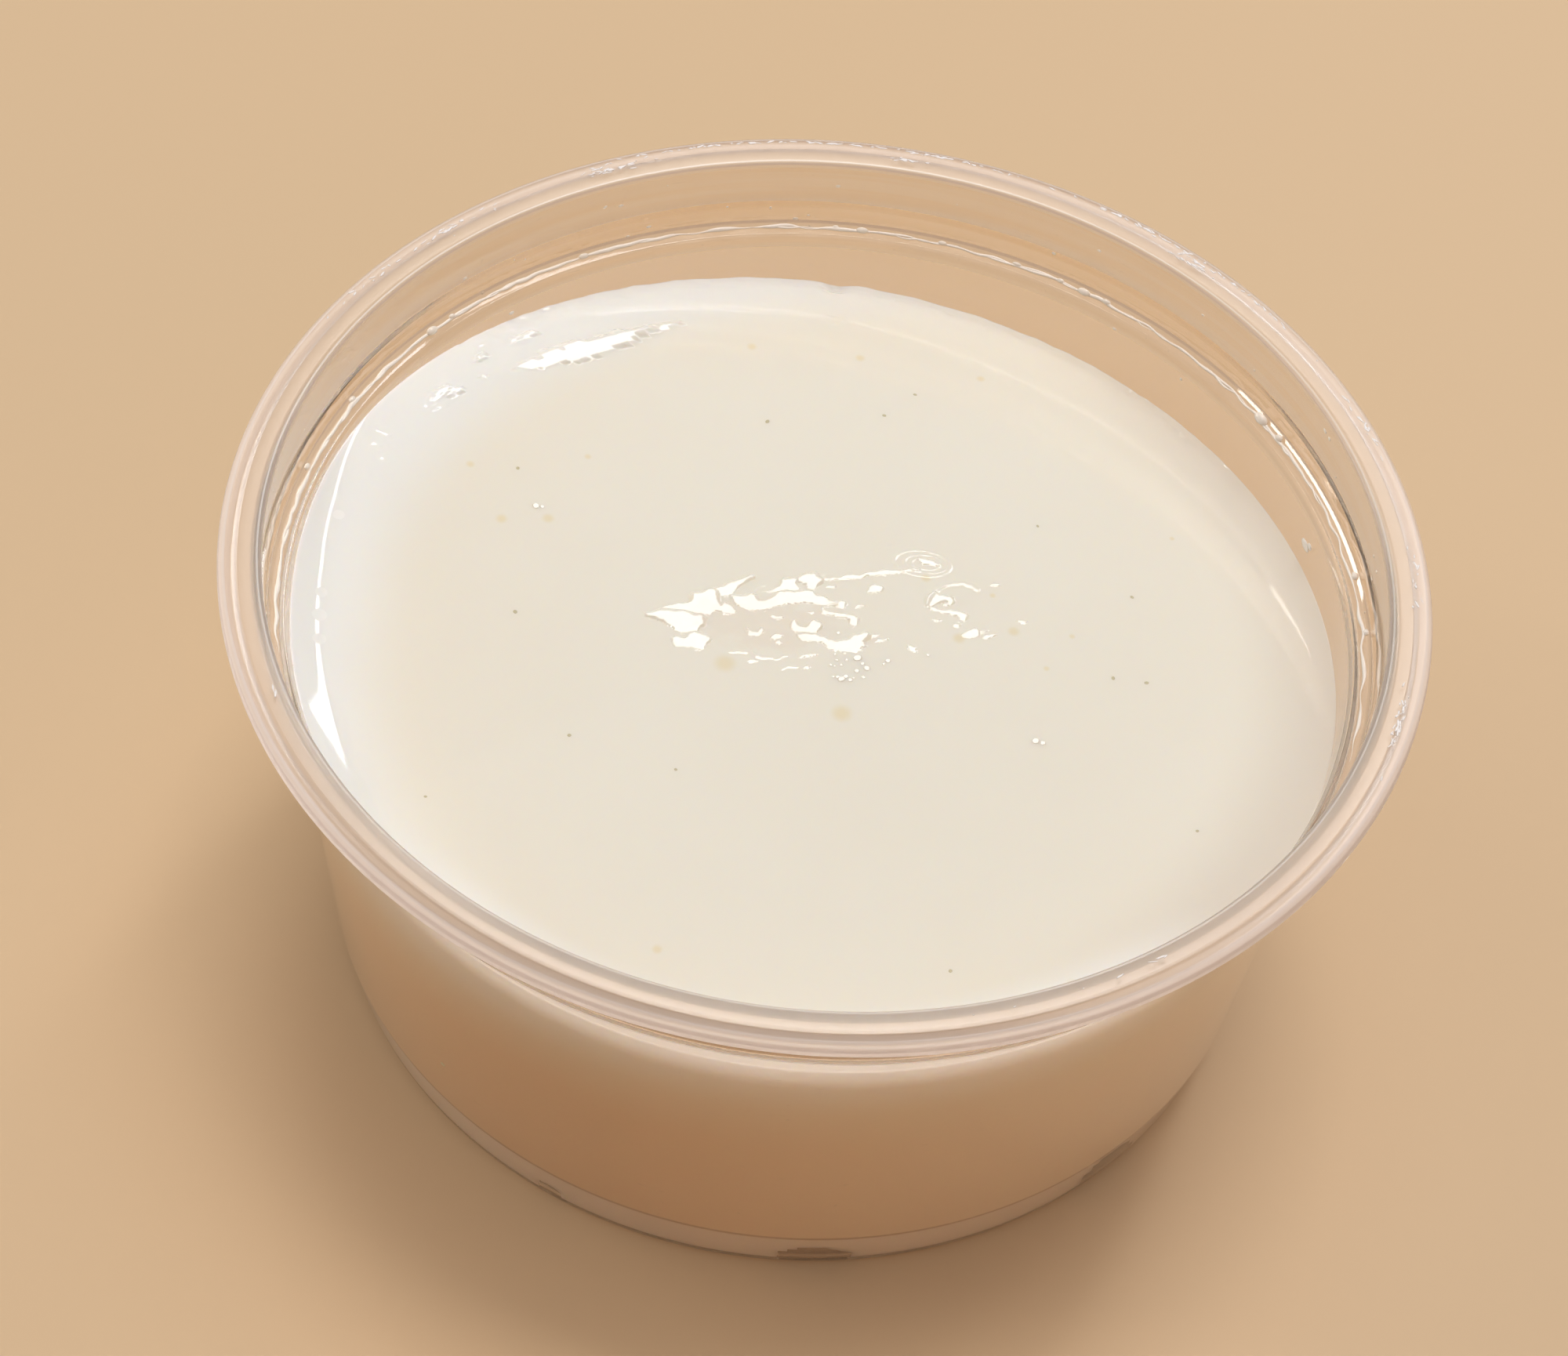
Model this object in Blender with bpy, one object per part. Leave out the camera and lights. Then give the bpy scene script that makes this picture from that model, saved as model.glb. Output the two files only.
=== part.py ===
"""Sour cream in a clear plastic portion cup.

Two solids: the thin-walled clear cup with its flat rim, lid seat and small foot, and the sour
cream that fills it up to a soft, uneven surface about a quarter of the way down.
Metres, +Z up, the table at z = 0, the cup's axis on Z, the front towards -Y.
"""

import math

import bpy
from mathutils import Vector

# Sizes of the cup, in metres.
RIM_RADIUS = 0.0370
HEIGHT = 0.0340
WALL = 0.0005
RIM_EDGE_DEPTH = 0.0010
RIM_EDGE_ROUND = 0.00045
RIM_FOOT_ROUND = 0.00018
RIM_FOOT_INNER_RADIUS = 0.03616
FLANGE_THICKNESS = 0.0006
FLANGE_OUTER_RADIUS = 0.03586
LIP_INNER_RADIUS = 0.0358
LIP_SLOPE = 0.00015
LIP_OUTER_RADIUS = 0.0364
LIP_RISE = 0.00006
OUTER_BEND = 0.0003
FLANGE_INNER_RADIUS = 0.0350
SEAT_TOP_RADIUS = 0.03434
SEAT_FOOT_RADIUS = 0.03398
SEAT_DEPTH = 0.0053
SEAT_CORNER_RISE = 0.00012
LEDGE_OUTER_INSET = 0.00026
LEDGE_OUTER_DROP = 0.00003
LEDGE_INNER_OFFSET = 0.00024
LEDGE_INNER_DROP = 0.00019
LEDGE_BACK_OFFSET = 0.00028
LEDGE_BACK_DROP = 0.00045
LEDGE_BEND_OFFSET = 0.00058
LEDGE_BEND_DROP = 0.0008
WALL_TOP_RADIUS = 0.03288
WALL_TOP_Z = 0.0280
WALL_FOOT_RADIUS = 0.03047
FOOT_LINE_Z = 0.0040
MID_WALL_Z = 0.0160
FOOT_STEP = 0.00018
FOOT_STEP_INSET = 0.00022
BASE_RADIUS = 0.0302
BASE_ROUND = 0.0006
REST_RING_INNER = 0.0270
REST_RING_SLANT = 0.00015
PUNT_RADIUS = 0.0263
PUNT_RISE = 0.0006

# Sizes of the filling, in metres.
FILL_GAP = 0.0003
FILL_DEPTH_BELOW_RIM = 0.0082
FILL_TILT = 0.0013
FILL_TILT_AZIMUTH = 45.0
FILL_SADDLE = 0.0006
FILL_SADDLE_AZIMUTH = 60.0
LEFT_CLIMB = 0.0011
LEFT_CLIMB_AZIMUTH = 166.0
LEFT_CLIMB_SPREAD = 30.0
FRONT_DIP = 0.0008
FRONT_DIP_AZIMUTH = -90.0
FRONT_DIP_SPREAD = 45.0
MOUND_RISE = 0.0010
MOUND_RADIUS = 0.0120
TROUGH_DROP = 0.0004
TROUGH_RADIUS = 0.0215
TROUGH_SPREAD = 0.0060
WALL_LINE_FADE = 2.6
TROUGH_WALL_FADE = 8.0

SEGMENTS = 80
SURFACE_RINGS = 18
RING_CROWDING = 0.85


def clear_scene():
    for obj in list(bpy.data.objects):
        bpy.data.objects.remove(obj, do_unlink=True)


def material(name, color, roughness, metallic=0.0, transmission=0.0, ior=1.45):
    mat = bpy.data.materials.new(name)
    mat.use_nodes = True
    shader = mat.node_tree.nodes["Principled BSDF"]
    shader.inputs["Base Color"].default_value = (*color, 1.0)
    shader.inputs["Roughness"].default_value = roughness
    shader.inputs["Metallic"].default_value = metallic
    shader.inputs["Transmission Weight"].default_value = transmission
    shader.inputs["IOR"].default_value = ior
    mat.diffuse_color = (*color, 1.0)
    return mat


def arc(center, radius, start, end, steps):
    """Points (r, z) of an arc; angles in degrees, 0 outwards and 90 upwards."""
    points = []
    for index in range(steps + 1):
        angle = math.radians(start + (end - start) * index / steps)
        points.append((center[0] + radius * math.cos(angle), center[1] + radius * math.sin(angle)))
    return points


def wall_radius(z):
    """Inner radius of the tapered wall between the foot line and the ledge."""
    share = (z - FOOT_LINE_Z) / (WALL_TOP_Z - FOOT_LINE_Z)
    return WALL_FOOT_RADIUS + share * (WALL_TOP_RADIUS - WALL_FOOT_RADIUS)


def seat_z():
    return HEIGHT - SEAT_DEPTH


def flange_z():
    return HEIGHT - LIP_RISE


def inner_profile():
    """The cup's inner surface from the middle of the floor up to the inner edge of the rim."""
    floor = WALL
    corner = BASE_RADIUS - WALL
    points = [
        (0.0, floor + PUNT_RISE),
        (PUNT_RADIUS, floor + PUNT_RISE),
        (REST_RING_INNER + REST_RING_SLANT, floor),
    ]
    points += arc((corner - BASE_ROUND, floor + BASE_ROUND), BASE_ROUND, -90.0, -8.0, 4)
    points += [
        (wall_radius(FOOT_LINE_Z) - FOOT_STEP_INSET, FOOT_LINE_Z - FOOT_STEP),
        (wall_radius(FOOT_LINE_Z), FOOT_LINE_Z + FOOT_STEP),
        (wall_radius(MID_WALL_Z), MID_WALL_Z),
        (WALL_TOP_RADIUS, WALL_TOP_Z),
        (WALL_TOP_RADIUS + LEDGE_INNER_OFFSET, seat_z() - LEDGE_INNER_DROP),
        (SEAT_FOOT_RADIUS - LEDGE_OUTER_INSET, seat_z() - LEDGE_OUTER_DROP),
        (SEAT_FOOT_RADIUS, seat_z() + SEAT_CORNER_RISE),
    ]
    bend = FLANGE_INNER_RADIUS - SEAT_TOP_RADIUS
    points += arc((FLANGE_INNER_RADIUS, flange_z() - bend), bend, 180.0, 90.0, 5)
    return points


def outer_profile():
    """The rest of the section: flange, lip, edge and outer wall, down to the middle of the base."""
    points = [
        (LIP_INNER_RADIUS, flange_z()),
        (LIP_INNER_RADIUS + LIP_SLOPE, HEIGHT),
        (LIP_OUTER_RADIUS, HEIGHT),
    ]
    top_round = RIM_EDGE_ROUND
    points += arc((RIM_RADIUS - top_round, HEIGHT - top_round), top_round, 75.0, 0.0, 4)
    foot_round = RIM_FOOT_ROUND
    edge_foot = HEIGHT - RIM_EDGE_DEPTH
    points += arc((RIM_RADIUS - foot_round, edge_foot + foot_round), foot_round, 0.0, -90.0, 2)
    under = HEIGHT - FLANGE_THICKNESS
    seat_outer_top = SEAT_TOP_RADIUS + WALL
    points += [
        (RIM_FOOT_INNER_RADIUS, edge_foot),
        (FLANGE_OUTER_RADIUS, under),
    ]
    points += arc((seat_outer_top + OUTER_BEND, under - OUTER_BEND), OUTER_BEND, 90.0, 180.0, 3)
    points += [
        (SEAT_FOOT_RADIUS + WALL, seat_z()),
        (SEAT_FOOT_RADIUS + LEDGE_BACK_OFFSET, seat_z() - LEDGE_BACK_DROP),
        (WALL_TOP_RADIUS + LEDGE_BEND_OFFSET, seat_z() - LEDGE_BEND_DROP),
        (WALL_TOP_RADIUS + WALL, WALL_TOP_Z - WALL),
        (wall_radius(MID_WALL_Z) + WALL, MID_WALL_Z),
        (wall_radius(FOOT_LINE_Z) + WALL, FOOT_LINE_Z + FOOT_STEP),
        (wall_radius(FOOT_LINE_Z) + WALL - FOOT_STEP_INSET, FOOT_LINE_Z - FOOT_STEP),
    ]
    points += arc((BASE_RADIUS - BASE_ROUND, BASE_ROUND), BASE_ROUND, -8.0, -90.0, 4)
    points += [
        (REST_RING_INNER, 0.0),
        (PUNT_RADIUS - REST_RING_SLANT, PUNT_RISE),
        (0.0, PUNT_RISE),
    ]
    return points


def near(azimuth, center, spread):
    """A soft bump round the circle: 1 at the centre azimuth, falling off over the spread."""
    turn = (azimuth - center + 180.0) % 360.0 - 180.0
    return math.exp(-((turn / spread) ** 2))


def contact_height(azimuth):
    """Height of the line where the sour cream meets the wall; it is not quite level."""
    height = HEIGHT - FILL_DEPTH_BELOW_RIM
    height -= FILL_TILT * math.cos(math.radians(azimuth - FILL_TILT_AZIMUTH))
    height -= FILL_SADDLE * math.cos(math.radians(2.0 * (azimuth - FILL_SADDLE_AZIMUTH)))
    height += LEFT_CLIMB * near(azimuth, LEFT_CLIMB_AZIMUTH, LEFT_CLIMB_SPREAD)
    height -= FRONT_DIP * near(azimuth, FRONT_DIP_AZIMUTH, FRONT_DIP_SPREAD)
    return height


def fill_radius(z):
    return wall_radius(z) - FILL_GAP


def surface_height(radius, azimuth):
    """Top of the sour cream: the wall line eased inwards, a low mound and a shallow trough."""
    level = HEIGHT - FILL_DEPTH_BELOW_RIM
    contact = contact_height(azimuth)
    share = min(radius / fill_radius(contact), 1.0)
    height = level + (contact - level) * share ** WALL_LINE_FADE
    height += MOUND_RISE * math.exp(-((radius / MOUND_RADIUS) ** 2))
    trough = math.exp(-(((radius - TROUGH_RADIUS) / TROUGH_SPREAD) ** 2))
    height -= TROUGH_DROP * trough * (1.0 - share ** TROUGH_WALL_FADE)
    return height


def spun_solid(name, profile, mat):
    """A closed body turned about Z from a section whose first and last points lie on the axis."""
    verts = [Vector((0.0, 0.0, profile[0][1]))]
    rings = profile[1:-1]
    for radius, z in rings:
        for index in range(SEGMENTS):
            angle = 2.0 * math.pi * index / SEGMENTS
            verts.append(Vector((radius * math.cos(angle), radius * math.sin(angle), z)))
    verts.append(Vector((0.0, 0.0, profile[-1][1])))
    last = len(verts) - 1
    faces = []
    for index in range(SEGMENTS):
        step = (index + 1) % SEGMENTS
        faces.append((0, 1 + index, 1 + step))
        for ring in range(len(rings) - 1):
            low = 1 + ring * SEGMENTS
            high = low + SEGMENTS
            faces.append((low + index, high + index, high + step, low + step))
        low = 1 + (len(rings) - 1) * SEGMENTS
        faces.append((low + index, last, low + step))
    return finished(name, verts, faces, mat)


def cream_solid(name, mat):
    """The filling: floor and side follow the cup with a small gap, the top is the relief."""
    floor = WALL + FILL_GAP
    inset = BASE_RADIUS - WALL - FILL_GAP
    low_ring = [
        (PUNT_RADIUS - FILL_GAP, floor + PUNT_RISE),
        (REST_RING_INNER + FILL_GAP, floor),
    ]
    low_ring += arc((inset - BASE_ROUND, floor + BASE_ROUND), BASE_ROUND, -90.0, -8.0, 3)
    low_ring += [
        (wall_radius(FOOT_LINE_Z) - FOOT_STEP_INSET - FILL_GAP, FOOT_LINE_Z - FOOT_STEP),
        (fill_radius(FOOT_LINE_Z), FOOT_LINE_Z + FOOT_STEP),
    ]
    azimuths = [360.0 * index / SEGMENTS for index in range(SEGMENTS)]
    rings = []
    for radius, z in low_ring:
        rings.append([(radius, azimuth, z) for azimuth in azimuths])
    for share in (0.5, 1.0):
        ring = []
        for azimuth in azimuths:
            z = FOOT_LINE_Z + share * (contact_height(azimuth) - FOOT_LINE_Z)
            ring.append((fill_radius(z), azimuth, z))
        rings.append(ring)
    for index in range(1, SURFACE_RINGS):
        share = 1.0 - index / SURFACE_RINGS
        ring = []
        for azimuth in azimuths:
            radius = fill_radius(contact_height(azimuth)) * share ** RING_CROWDING
            ring.append((radius, azimuth, surface_height(radius, azimuth)))
        rings.append(ring)
    verts = [Vector((0.0, 0.0, floor + PUNT_RISE))]
    for ring in rings:
        for radius, azimuth, z in ring:
            angle = math.radians(azimuth)
            verts.append(Vector((radius * math.cos(angle), radius * math.sin(angle), z)))
    verts.append(Vector((0.0, 0.0, surface_height(0.0, 0.0))))
    last = len(verts) - 1
    faces = []
    for index in range(SEGMENTS):
        step = (index + 1) % SEGMENTS
        faces.append((0, 1 + step, 1 + index))
        for ring in range(len(rings) - 1):
            low = 1 + ring * SEGMENTS
            high = low + SEGMENTS
            faces.append((low + index, low + step, high + step, high + index))
        low = 1 + (len(rings) - 1) * SEGMENTS
        faces.append((low + index, low + step, last))
    return finished(name, verts, faces, mat)


def finished(name, verts, faces, mat):
    mesh = bpy.data.meshes.new(name)
    mesh.from_pydata(verts, [], faces)
    mesh.validate()
    for polygon in mesh.polygons:
        polygon.use_smooth = True
    mesh.materials.append(mat)
    obj = bpy.data.objects.new(name, mesh)
    bpy.context.collection.objects.link(obj)
    return obj


def main():
    clear_scene()
    clear_plastic = material("clear_plastic", (0.93, 0.90, 0.88), 0.08, transmission=0.9, ior=1.5)
    sour_cream = material("sour_cream", (0.86, 0.81, 0.70), 0.25)
    spun_solid("cup", inner_profile() + outer_profile(), clear_plastic)
    cream_solid("sour_cream", sour_cream)


main()
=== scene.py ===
import math
import random

import bpy
import numpy as np
from mathutils import Matrix, Vector


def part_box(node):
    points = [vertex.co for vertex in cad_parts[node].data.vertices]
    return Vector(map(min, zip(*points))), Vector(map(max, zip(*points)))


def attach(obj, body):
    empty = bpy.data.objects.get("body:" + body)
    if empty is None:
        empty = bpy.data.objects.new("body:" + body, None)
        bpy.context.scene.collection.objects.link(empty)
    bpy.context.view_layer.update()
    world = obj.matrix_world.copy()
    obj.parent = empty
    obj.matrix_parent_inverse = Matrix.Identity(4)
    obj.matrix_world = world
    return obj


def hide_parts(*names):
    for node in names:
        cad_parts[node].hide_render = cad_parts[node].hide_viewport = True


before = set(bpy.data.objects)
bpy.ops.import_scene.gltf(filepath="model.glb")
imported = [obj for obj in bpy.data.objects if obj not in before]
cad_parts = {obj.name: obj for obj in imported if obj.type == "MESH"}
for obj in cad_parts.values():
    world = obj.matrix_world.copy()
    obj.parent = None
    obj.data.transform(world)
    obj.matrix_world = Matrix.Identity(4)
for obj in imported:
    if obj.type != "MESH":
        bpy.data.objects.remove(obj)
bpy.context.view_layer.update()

MM = 0.001
# Height of the cup and radius of its rim, in mm.
HEIGHT = 34.0
RIM_RADIUS = 37.0
# Points round each ring of the cup.
TURNS = 320
SEED = 11

# Camera: the photo's view, from the front at about 48 degrees above the table.
CAMERA_LENS = 84.33
CAMERA_DISTANCE = 6.0519
CAMERA_ELEVATION = 47.670
CAMERA_YAW = -0.474
CAMERA_PITCH = 2.160
CAMERA_ROLL = -6.499


def make_camera():
    elevation = math.radians(CAMERA_ELEVATION)
    away = Vector((0.0, -math.cos(elevation), math.sin(elevation)))
    place = away * CAMERA_DISTANCE * RIM_RADIUS * MM + Vector((0.0, 0.0, HEIGHT * MM))
    right = Vector((1.0, 0.0, 0.0))
    up = away.cross(right)
    to_camera = Matrix((right, up, away))
    turn = (
        Matrix.Rotation(math.radians(CAMERA_ROLL), 3, "Z")
        @ Matrix.Rotation(math.radians(CAMERA_PITCH), 3, "X")
        @ Matrix.Rotation(math.radians(CAMERA_YAW), 3, "Y")
    )
    pose = (turn @ to_camera).transposed().to_4x4()
    pose.translation = place
    data = bpy.data.cameras.new("camera")
    data.lens = CAMERA_LENS
    data.sensor_width = 36.0
    data.clip_start = 0.01
    camera = bpy.data.objects.new("camera", data)
    camera.matrix_world = pose
    bpy.context.collection.objects.link(camera)
    bpy.context.scene.camera = camera


# Soft yellow flecks just under the surface: (x, y, radius) in mm.
SOFT_SPECKS = [
    (-5.6, -3.9, 0.75), (1.9, -6.8, 0.70), (6.3, 5.1, 0.35), (12.1, 1.6, 0.42), (8.7, 0.4, 0.45),
    (14.3, -1.1, 0.22), (15.8, 1.9, 0.22), (-23.5, 9.8, 0.30), (-16.2, 12.2, 0.26), (-20.9, 5.7, 0.40),
    (-18.0, 6.3, 0.42), (-6.7, 24.7, 0.36), (0.6, 25.1, 0.36), (8.8, 24.8, 0.32), (-7.3, -25.7, 0.34),
    (16.9, -24.8, 0.34), (10.6, 4.4, 0.22), (22.0, 12.0, 0.20),
]


# Dull spots on the wet shoulder at the left: (azimuth, radius from the axis, radius) in degrees and mm.
DULL_SPOTS = [(173.0, 31.2, 0.40), (184.4, 31.1, 0.40), (187.6, 31.1, 0.50), (191.0, 31.1, 0.45)]


# Mesh helpers.
def link(name, verts, faces, materials, smooth=True):
    mesh = bpy.data.meshes.new(name)
    mesh.from_pydata(verts, [], faces)
    mesh.update()
    for mat in materials:
        mesh.materials.append(mat)
    if smooth:
        mesh.polygons.foreach_set("use_smooth", [True] * len(mesh.polygons))
    obj = bpy.data.objects.new(name, mesh)
    bpy.context.collection.objects.link(obj)
    return obj


def rounded(corners, steps=5):
    """A line through corners (r, z, fillet) with each corner rounded by its fillet, in mm."""
    points = []
    for index, (x, z, fillet) in enumerate(corners):
        here = Vector((x, z))
        if fillet <= 0.0 or index in (0, len(corners) - 1):
            points.append((x, z))
            continue
        back = Vector(corners[index - 1][:2]) - here
        ahead = Vector(corners[index + 1][:2]) - here
        half = back.angle(ahead) / 2.0
        reach = min(fillet / math.tan(half), 0.48 * back.length, 0.48 * ahead.length)
        radius = reach * math.tan(half)
        start = here + back.normalized() * reach
        end = here + ahead.normalized() * reach
        middle = here + (back.normalized() + ahead.normalized()).normalized() * math.hypot(reach, radius)
        first = math.atan2(start.y - middle.y, start.x - middle.x)
        sweep = math.atan2(end.y - middle.y, end.x - middle.x) - first
        sweep = (sweep + math.pi) % (2.0 * math.pi) - math.pi
        for step in range(steps + 1):
            angle = first + sweep * step / steps
            points.append((middle.x + radius * math.cos(angle), middle.y + radius * math.sin(angle)))
    return points


def band(low, high, count):
    """Faces between two rings of points, given by the number of each ring's first point."""
    steps = [(index, (index + 1) % count) for index in range(count)]
    return [(low + index, high + index, high + step, low + step) for index, step in steps]


def closed_rings(start, count, rings):
    """Faces of a closed body whose points are a pole, some rings of points and a second pole."""
    last = start + 1 + rings * count
    faces = []
    for index in range(count):
        step = (index + 1) % count
        faces.append((start, start + 1 + index, start + 1 + step))
        for low in range(start + 1, last - count, count):
            high = low + count
            faces.append((low + index, high + index, high + step, low + step))
        faces.append((last - count + index, last, last - count + step))
    return faces


def spin(name, profile, materials, slot_of):
    """A closed body turned about Z from a section in mm whose ends lie on the axis."""
    verts = [(0.0, 0.0, profile[0][1] * MM)]
    rings = profile[1:-1]
    for radius, z in rings:
        for index in range(TURNS):
            angle = 2.0 * math.pi * index / TURNS
            verts.append((radius * MM * math.cos(angle), radius * MM * math.sin(angle), z * MM))
    verts.append((0.0, 0.0, profile[-1][1] * MM))
    obj = link(name, verts, closed_rings(0, TURNS, len(rings)), materials)
    slots = [slot_of(*rings[0])] + [slot_of(*ring) for ring in rings]
    obj.data.polygons.foreach_set("material_index", slots * TURNS)
    return obj


# Node helpers.
class Nodes:
    """The nodes of a material or a world, and its main shader."""

    def __init__(self, owner, shader="Principled BSDF", space="Object"):
        owner.use_nodes = True
        self.owner = owner
        self.tree = owner.node_tree
        self.shader = self.tree.nodes[shader]
        self.place = self.add("ShaderNodeTexCoord").outputs[space]

    def add(self, kind, *values, **settings):
        """A new node with its settings, and values or sockets for its first inputs."""
        node = self.tree.nodes.new(kind)
        for key, value in settings.items():
            setattr(node, key, value)
        for socket, value in zip(node.inputs, values):
            self.put(socket, value)
        return node

    def put(self, socket, value):
        if isinstance(value, bpy.types.NodeSocket):
            self.tree.links.new(value, socket)
        else:
            socket.default_value = value

    def fill(self, node, values):
        """Sets inputs of a node by name."""
        for name, value in values.items():
            self.put(node.inputs[name], value)

    def shade(self, values):
        self.fill(self.shader, values)

    def math(self, operation, a, b=0.0, clamp=False):
        return self.add("ShaderNodeMath", a, b, operation=operation, use_clamp=clamp).outputs[0]

    def times(self, first, *others):
        for other in others:
            first = self.math("MULTIPLY", first, other)
        return first

    def length(self, x, y):
        return self.math("SQRT", self.math("ADD", self.times(x, x), self.times(y, y)))

    def ramp(self, value, low, high, to_low=0.0, to_high=1.0, smooth=True):
        """The value's way from low to high, as a number from to_low to to_high."""
        kind = "SMOOTHSTEP" if smooth else "LINEAR"
        node = self.add("ShaderNodeMapRange", value, low, high, to_low, to_high, interpolation_type=kind)
        return node.outputs[0]

    def mix(self, share, a, b):
        """A colour between a and b, each a socket or an (r, g, b)."""
        node = self.add("ShaderNodeMix", share, data_type="RGBA")
        for socket, color in ((node.inputs[6], a), (node.inputs[7], b)):
            self.put(socket, (*color, 1.0) if isinstance(color, tuple) else color)
        return node.outputs[2]

    def noise(self, place, scale, detail, rough=0.55, distortion=0.0):
        node = self.add("ShaderNodeTexNoise", place)
        self.fill(node, {"Scale": scale, "Detail": detail, "Roughness": rough, "Distortion": distortion})
        return node.outputs[0]

    def split(self):
        """X, Y and Z of the point in metres, and its distance from the axis."""
        x, y, z = self.add("ShaderNodeSeparateXYZ", self.place).outputs
        return x, y, z, self.length(x, y)

    def gap(self, x, y, spot_x, spot_y):
        """Distance in plan from a spot given in mm."""
        return self.length(self.math("SUBTRACT", x, spot_x * MM), self.math("SUBTRACT", y, spot_y * MM))

    def around(self, along, across, upward):
        """Coordinates that run round the cup: turn, radius and height, each with its own scale."""
        x, y, z, radius = self.split()
        turn = self.math("ARCTAN2", y, x)
        parts = self.times(turn, along), self.times(radius, across / MM), self.times(z, upward / MM)
        return self.add("ShaderNodeCombineXYZ", *parts).outputs[0]

    def bump(self, height, strength, distance):
        node = self.add("ShaderNodeBump")
        self.fill(node, {"Strength": strength, "Distance": distance, "Height": height})
        self.shade({"Normal": node.outputs[0]})


def let_light_through(nodes, tint):
    """Rays from lamps pass the clear plastic, so that they reach the filling behind it."""
    clear = nodes.add("ShaderNodeBsdfTransparent", (*tint, 1.0)).outputs[0]
    lamp_ray = nodes.add("ShaderNodeLightPath").outputs["Is Shadow Ray"]
    mixer = nodes.add("ShaderNodeMixShader", lamp_ray, nodes.shader.outputs[0], clear)
    nodes.put(nodes.tree.nodes["Material Output"].inputs["Surface"], mixer.outputs[0])


def plastic(name, haze, scuffs, frost, coat, tint, warm, lines=()):
    """Clear plastic with scratches and dust, painted warm reflection streaks above the ledge, and painted
    lines of shade and highlight. Each line is (radius, width, share, colour), in mm.
    """
    nodes = Nodes(bpy.data.materials.new(name))
    scratch = nodes.noise(nodes.around(9.0, 1.8, 1.8), 2.4, 5.0, 0.62, 0.8)
    marks = nodes.ramp(scratch, 0.66, 0.74, 0.0, scuffs)
    dust = nodes.ramp(nodes.noise(nodes.place, 2600.0, 2.0), 0.70, 0.76, 0.0, scuffs * 0.4)
    worn = nodes.math("MAXIMUM", marks, dust)
    z, flat = nodes.split()[2:]
    # Painted reflection: faint warm level streaks above the ledge, standing in for reflected lines that run
    # parallel to the rim.
    reflection_streak = nodes.ramp(nodes.noise(nodes.around(0.0006, 0.0, MM), 1500.0, 2.0), 0.35, 0.65, 0.15, 0.85)
    base = nodes.mix(nodes.times(reflection_streak, nodes.ramp(z, 0.0289, 0.0294)), tint, warm)
    painted_line_share = 0.0
    # Painted lines: dark rings are painted shade and light rings are painted highlight, standing in for
    # lines that the clear rim refracts and reflects; they also make the plastic less clear there.
    for place, width, share, color in lines:
        gap = nodes.math("ABSOLUTE", nodes.math("SUBTRACT", flat, place * MM))
        line = nodes.ramp(gap, 0.3 * width * MM, width * MM, share, 0.0)
        base = nodes.mix(line, base, color)
        painted_line_share = nodes.math("MAXIMUM", painted_line_share, line)
    clearness = nodes.math("SUBTRACT", 1.0 - haze, nodes.times(worn, 0.55))
    nodes.shade({
        "IOR": 1.49,
        "Base Color": nodes.mix(worn, base, (0.96, 0.94, 0.94)),
        "Transmission Weight": nodes.math("SUBTRACT", clearness, nodes.times(painted_line_share, 0.6), clamp=True),
        "Roughness": nodes.ramp(worn, 0.0, 1.0, frost, 0.40, False),
        "Coat Weight": coat, "Coat Roughness": 0.03, "Coat IOR": 1.45,
    })
    let_light_through(nodes, (0.93, 0.90, 0.885))
    return nodes.owner


def speck_share(nodes, x, y):
    """How strongly the soft yellow specks tint a point."""
    share = 0.0
    for spot_x, spot_y, size in SOFT_SPECKS:
        spot = nodes.ramp(nodes.gap(x, y, spot_x, spot_y), 0.25 * size * MM, 1.25 * size * MM, 0.6, 0.0)
        share = nodes.math("MAXIMUM", share, spot)
    return share


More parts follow.
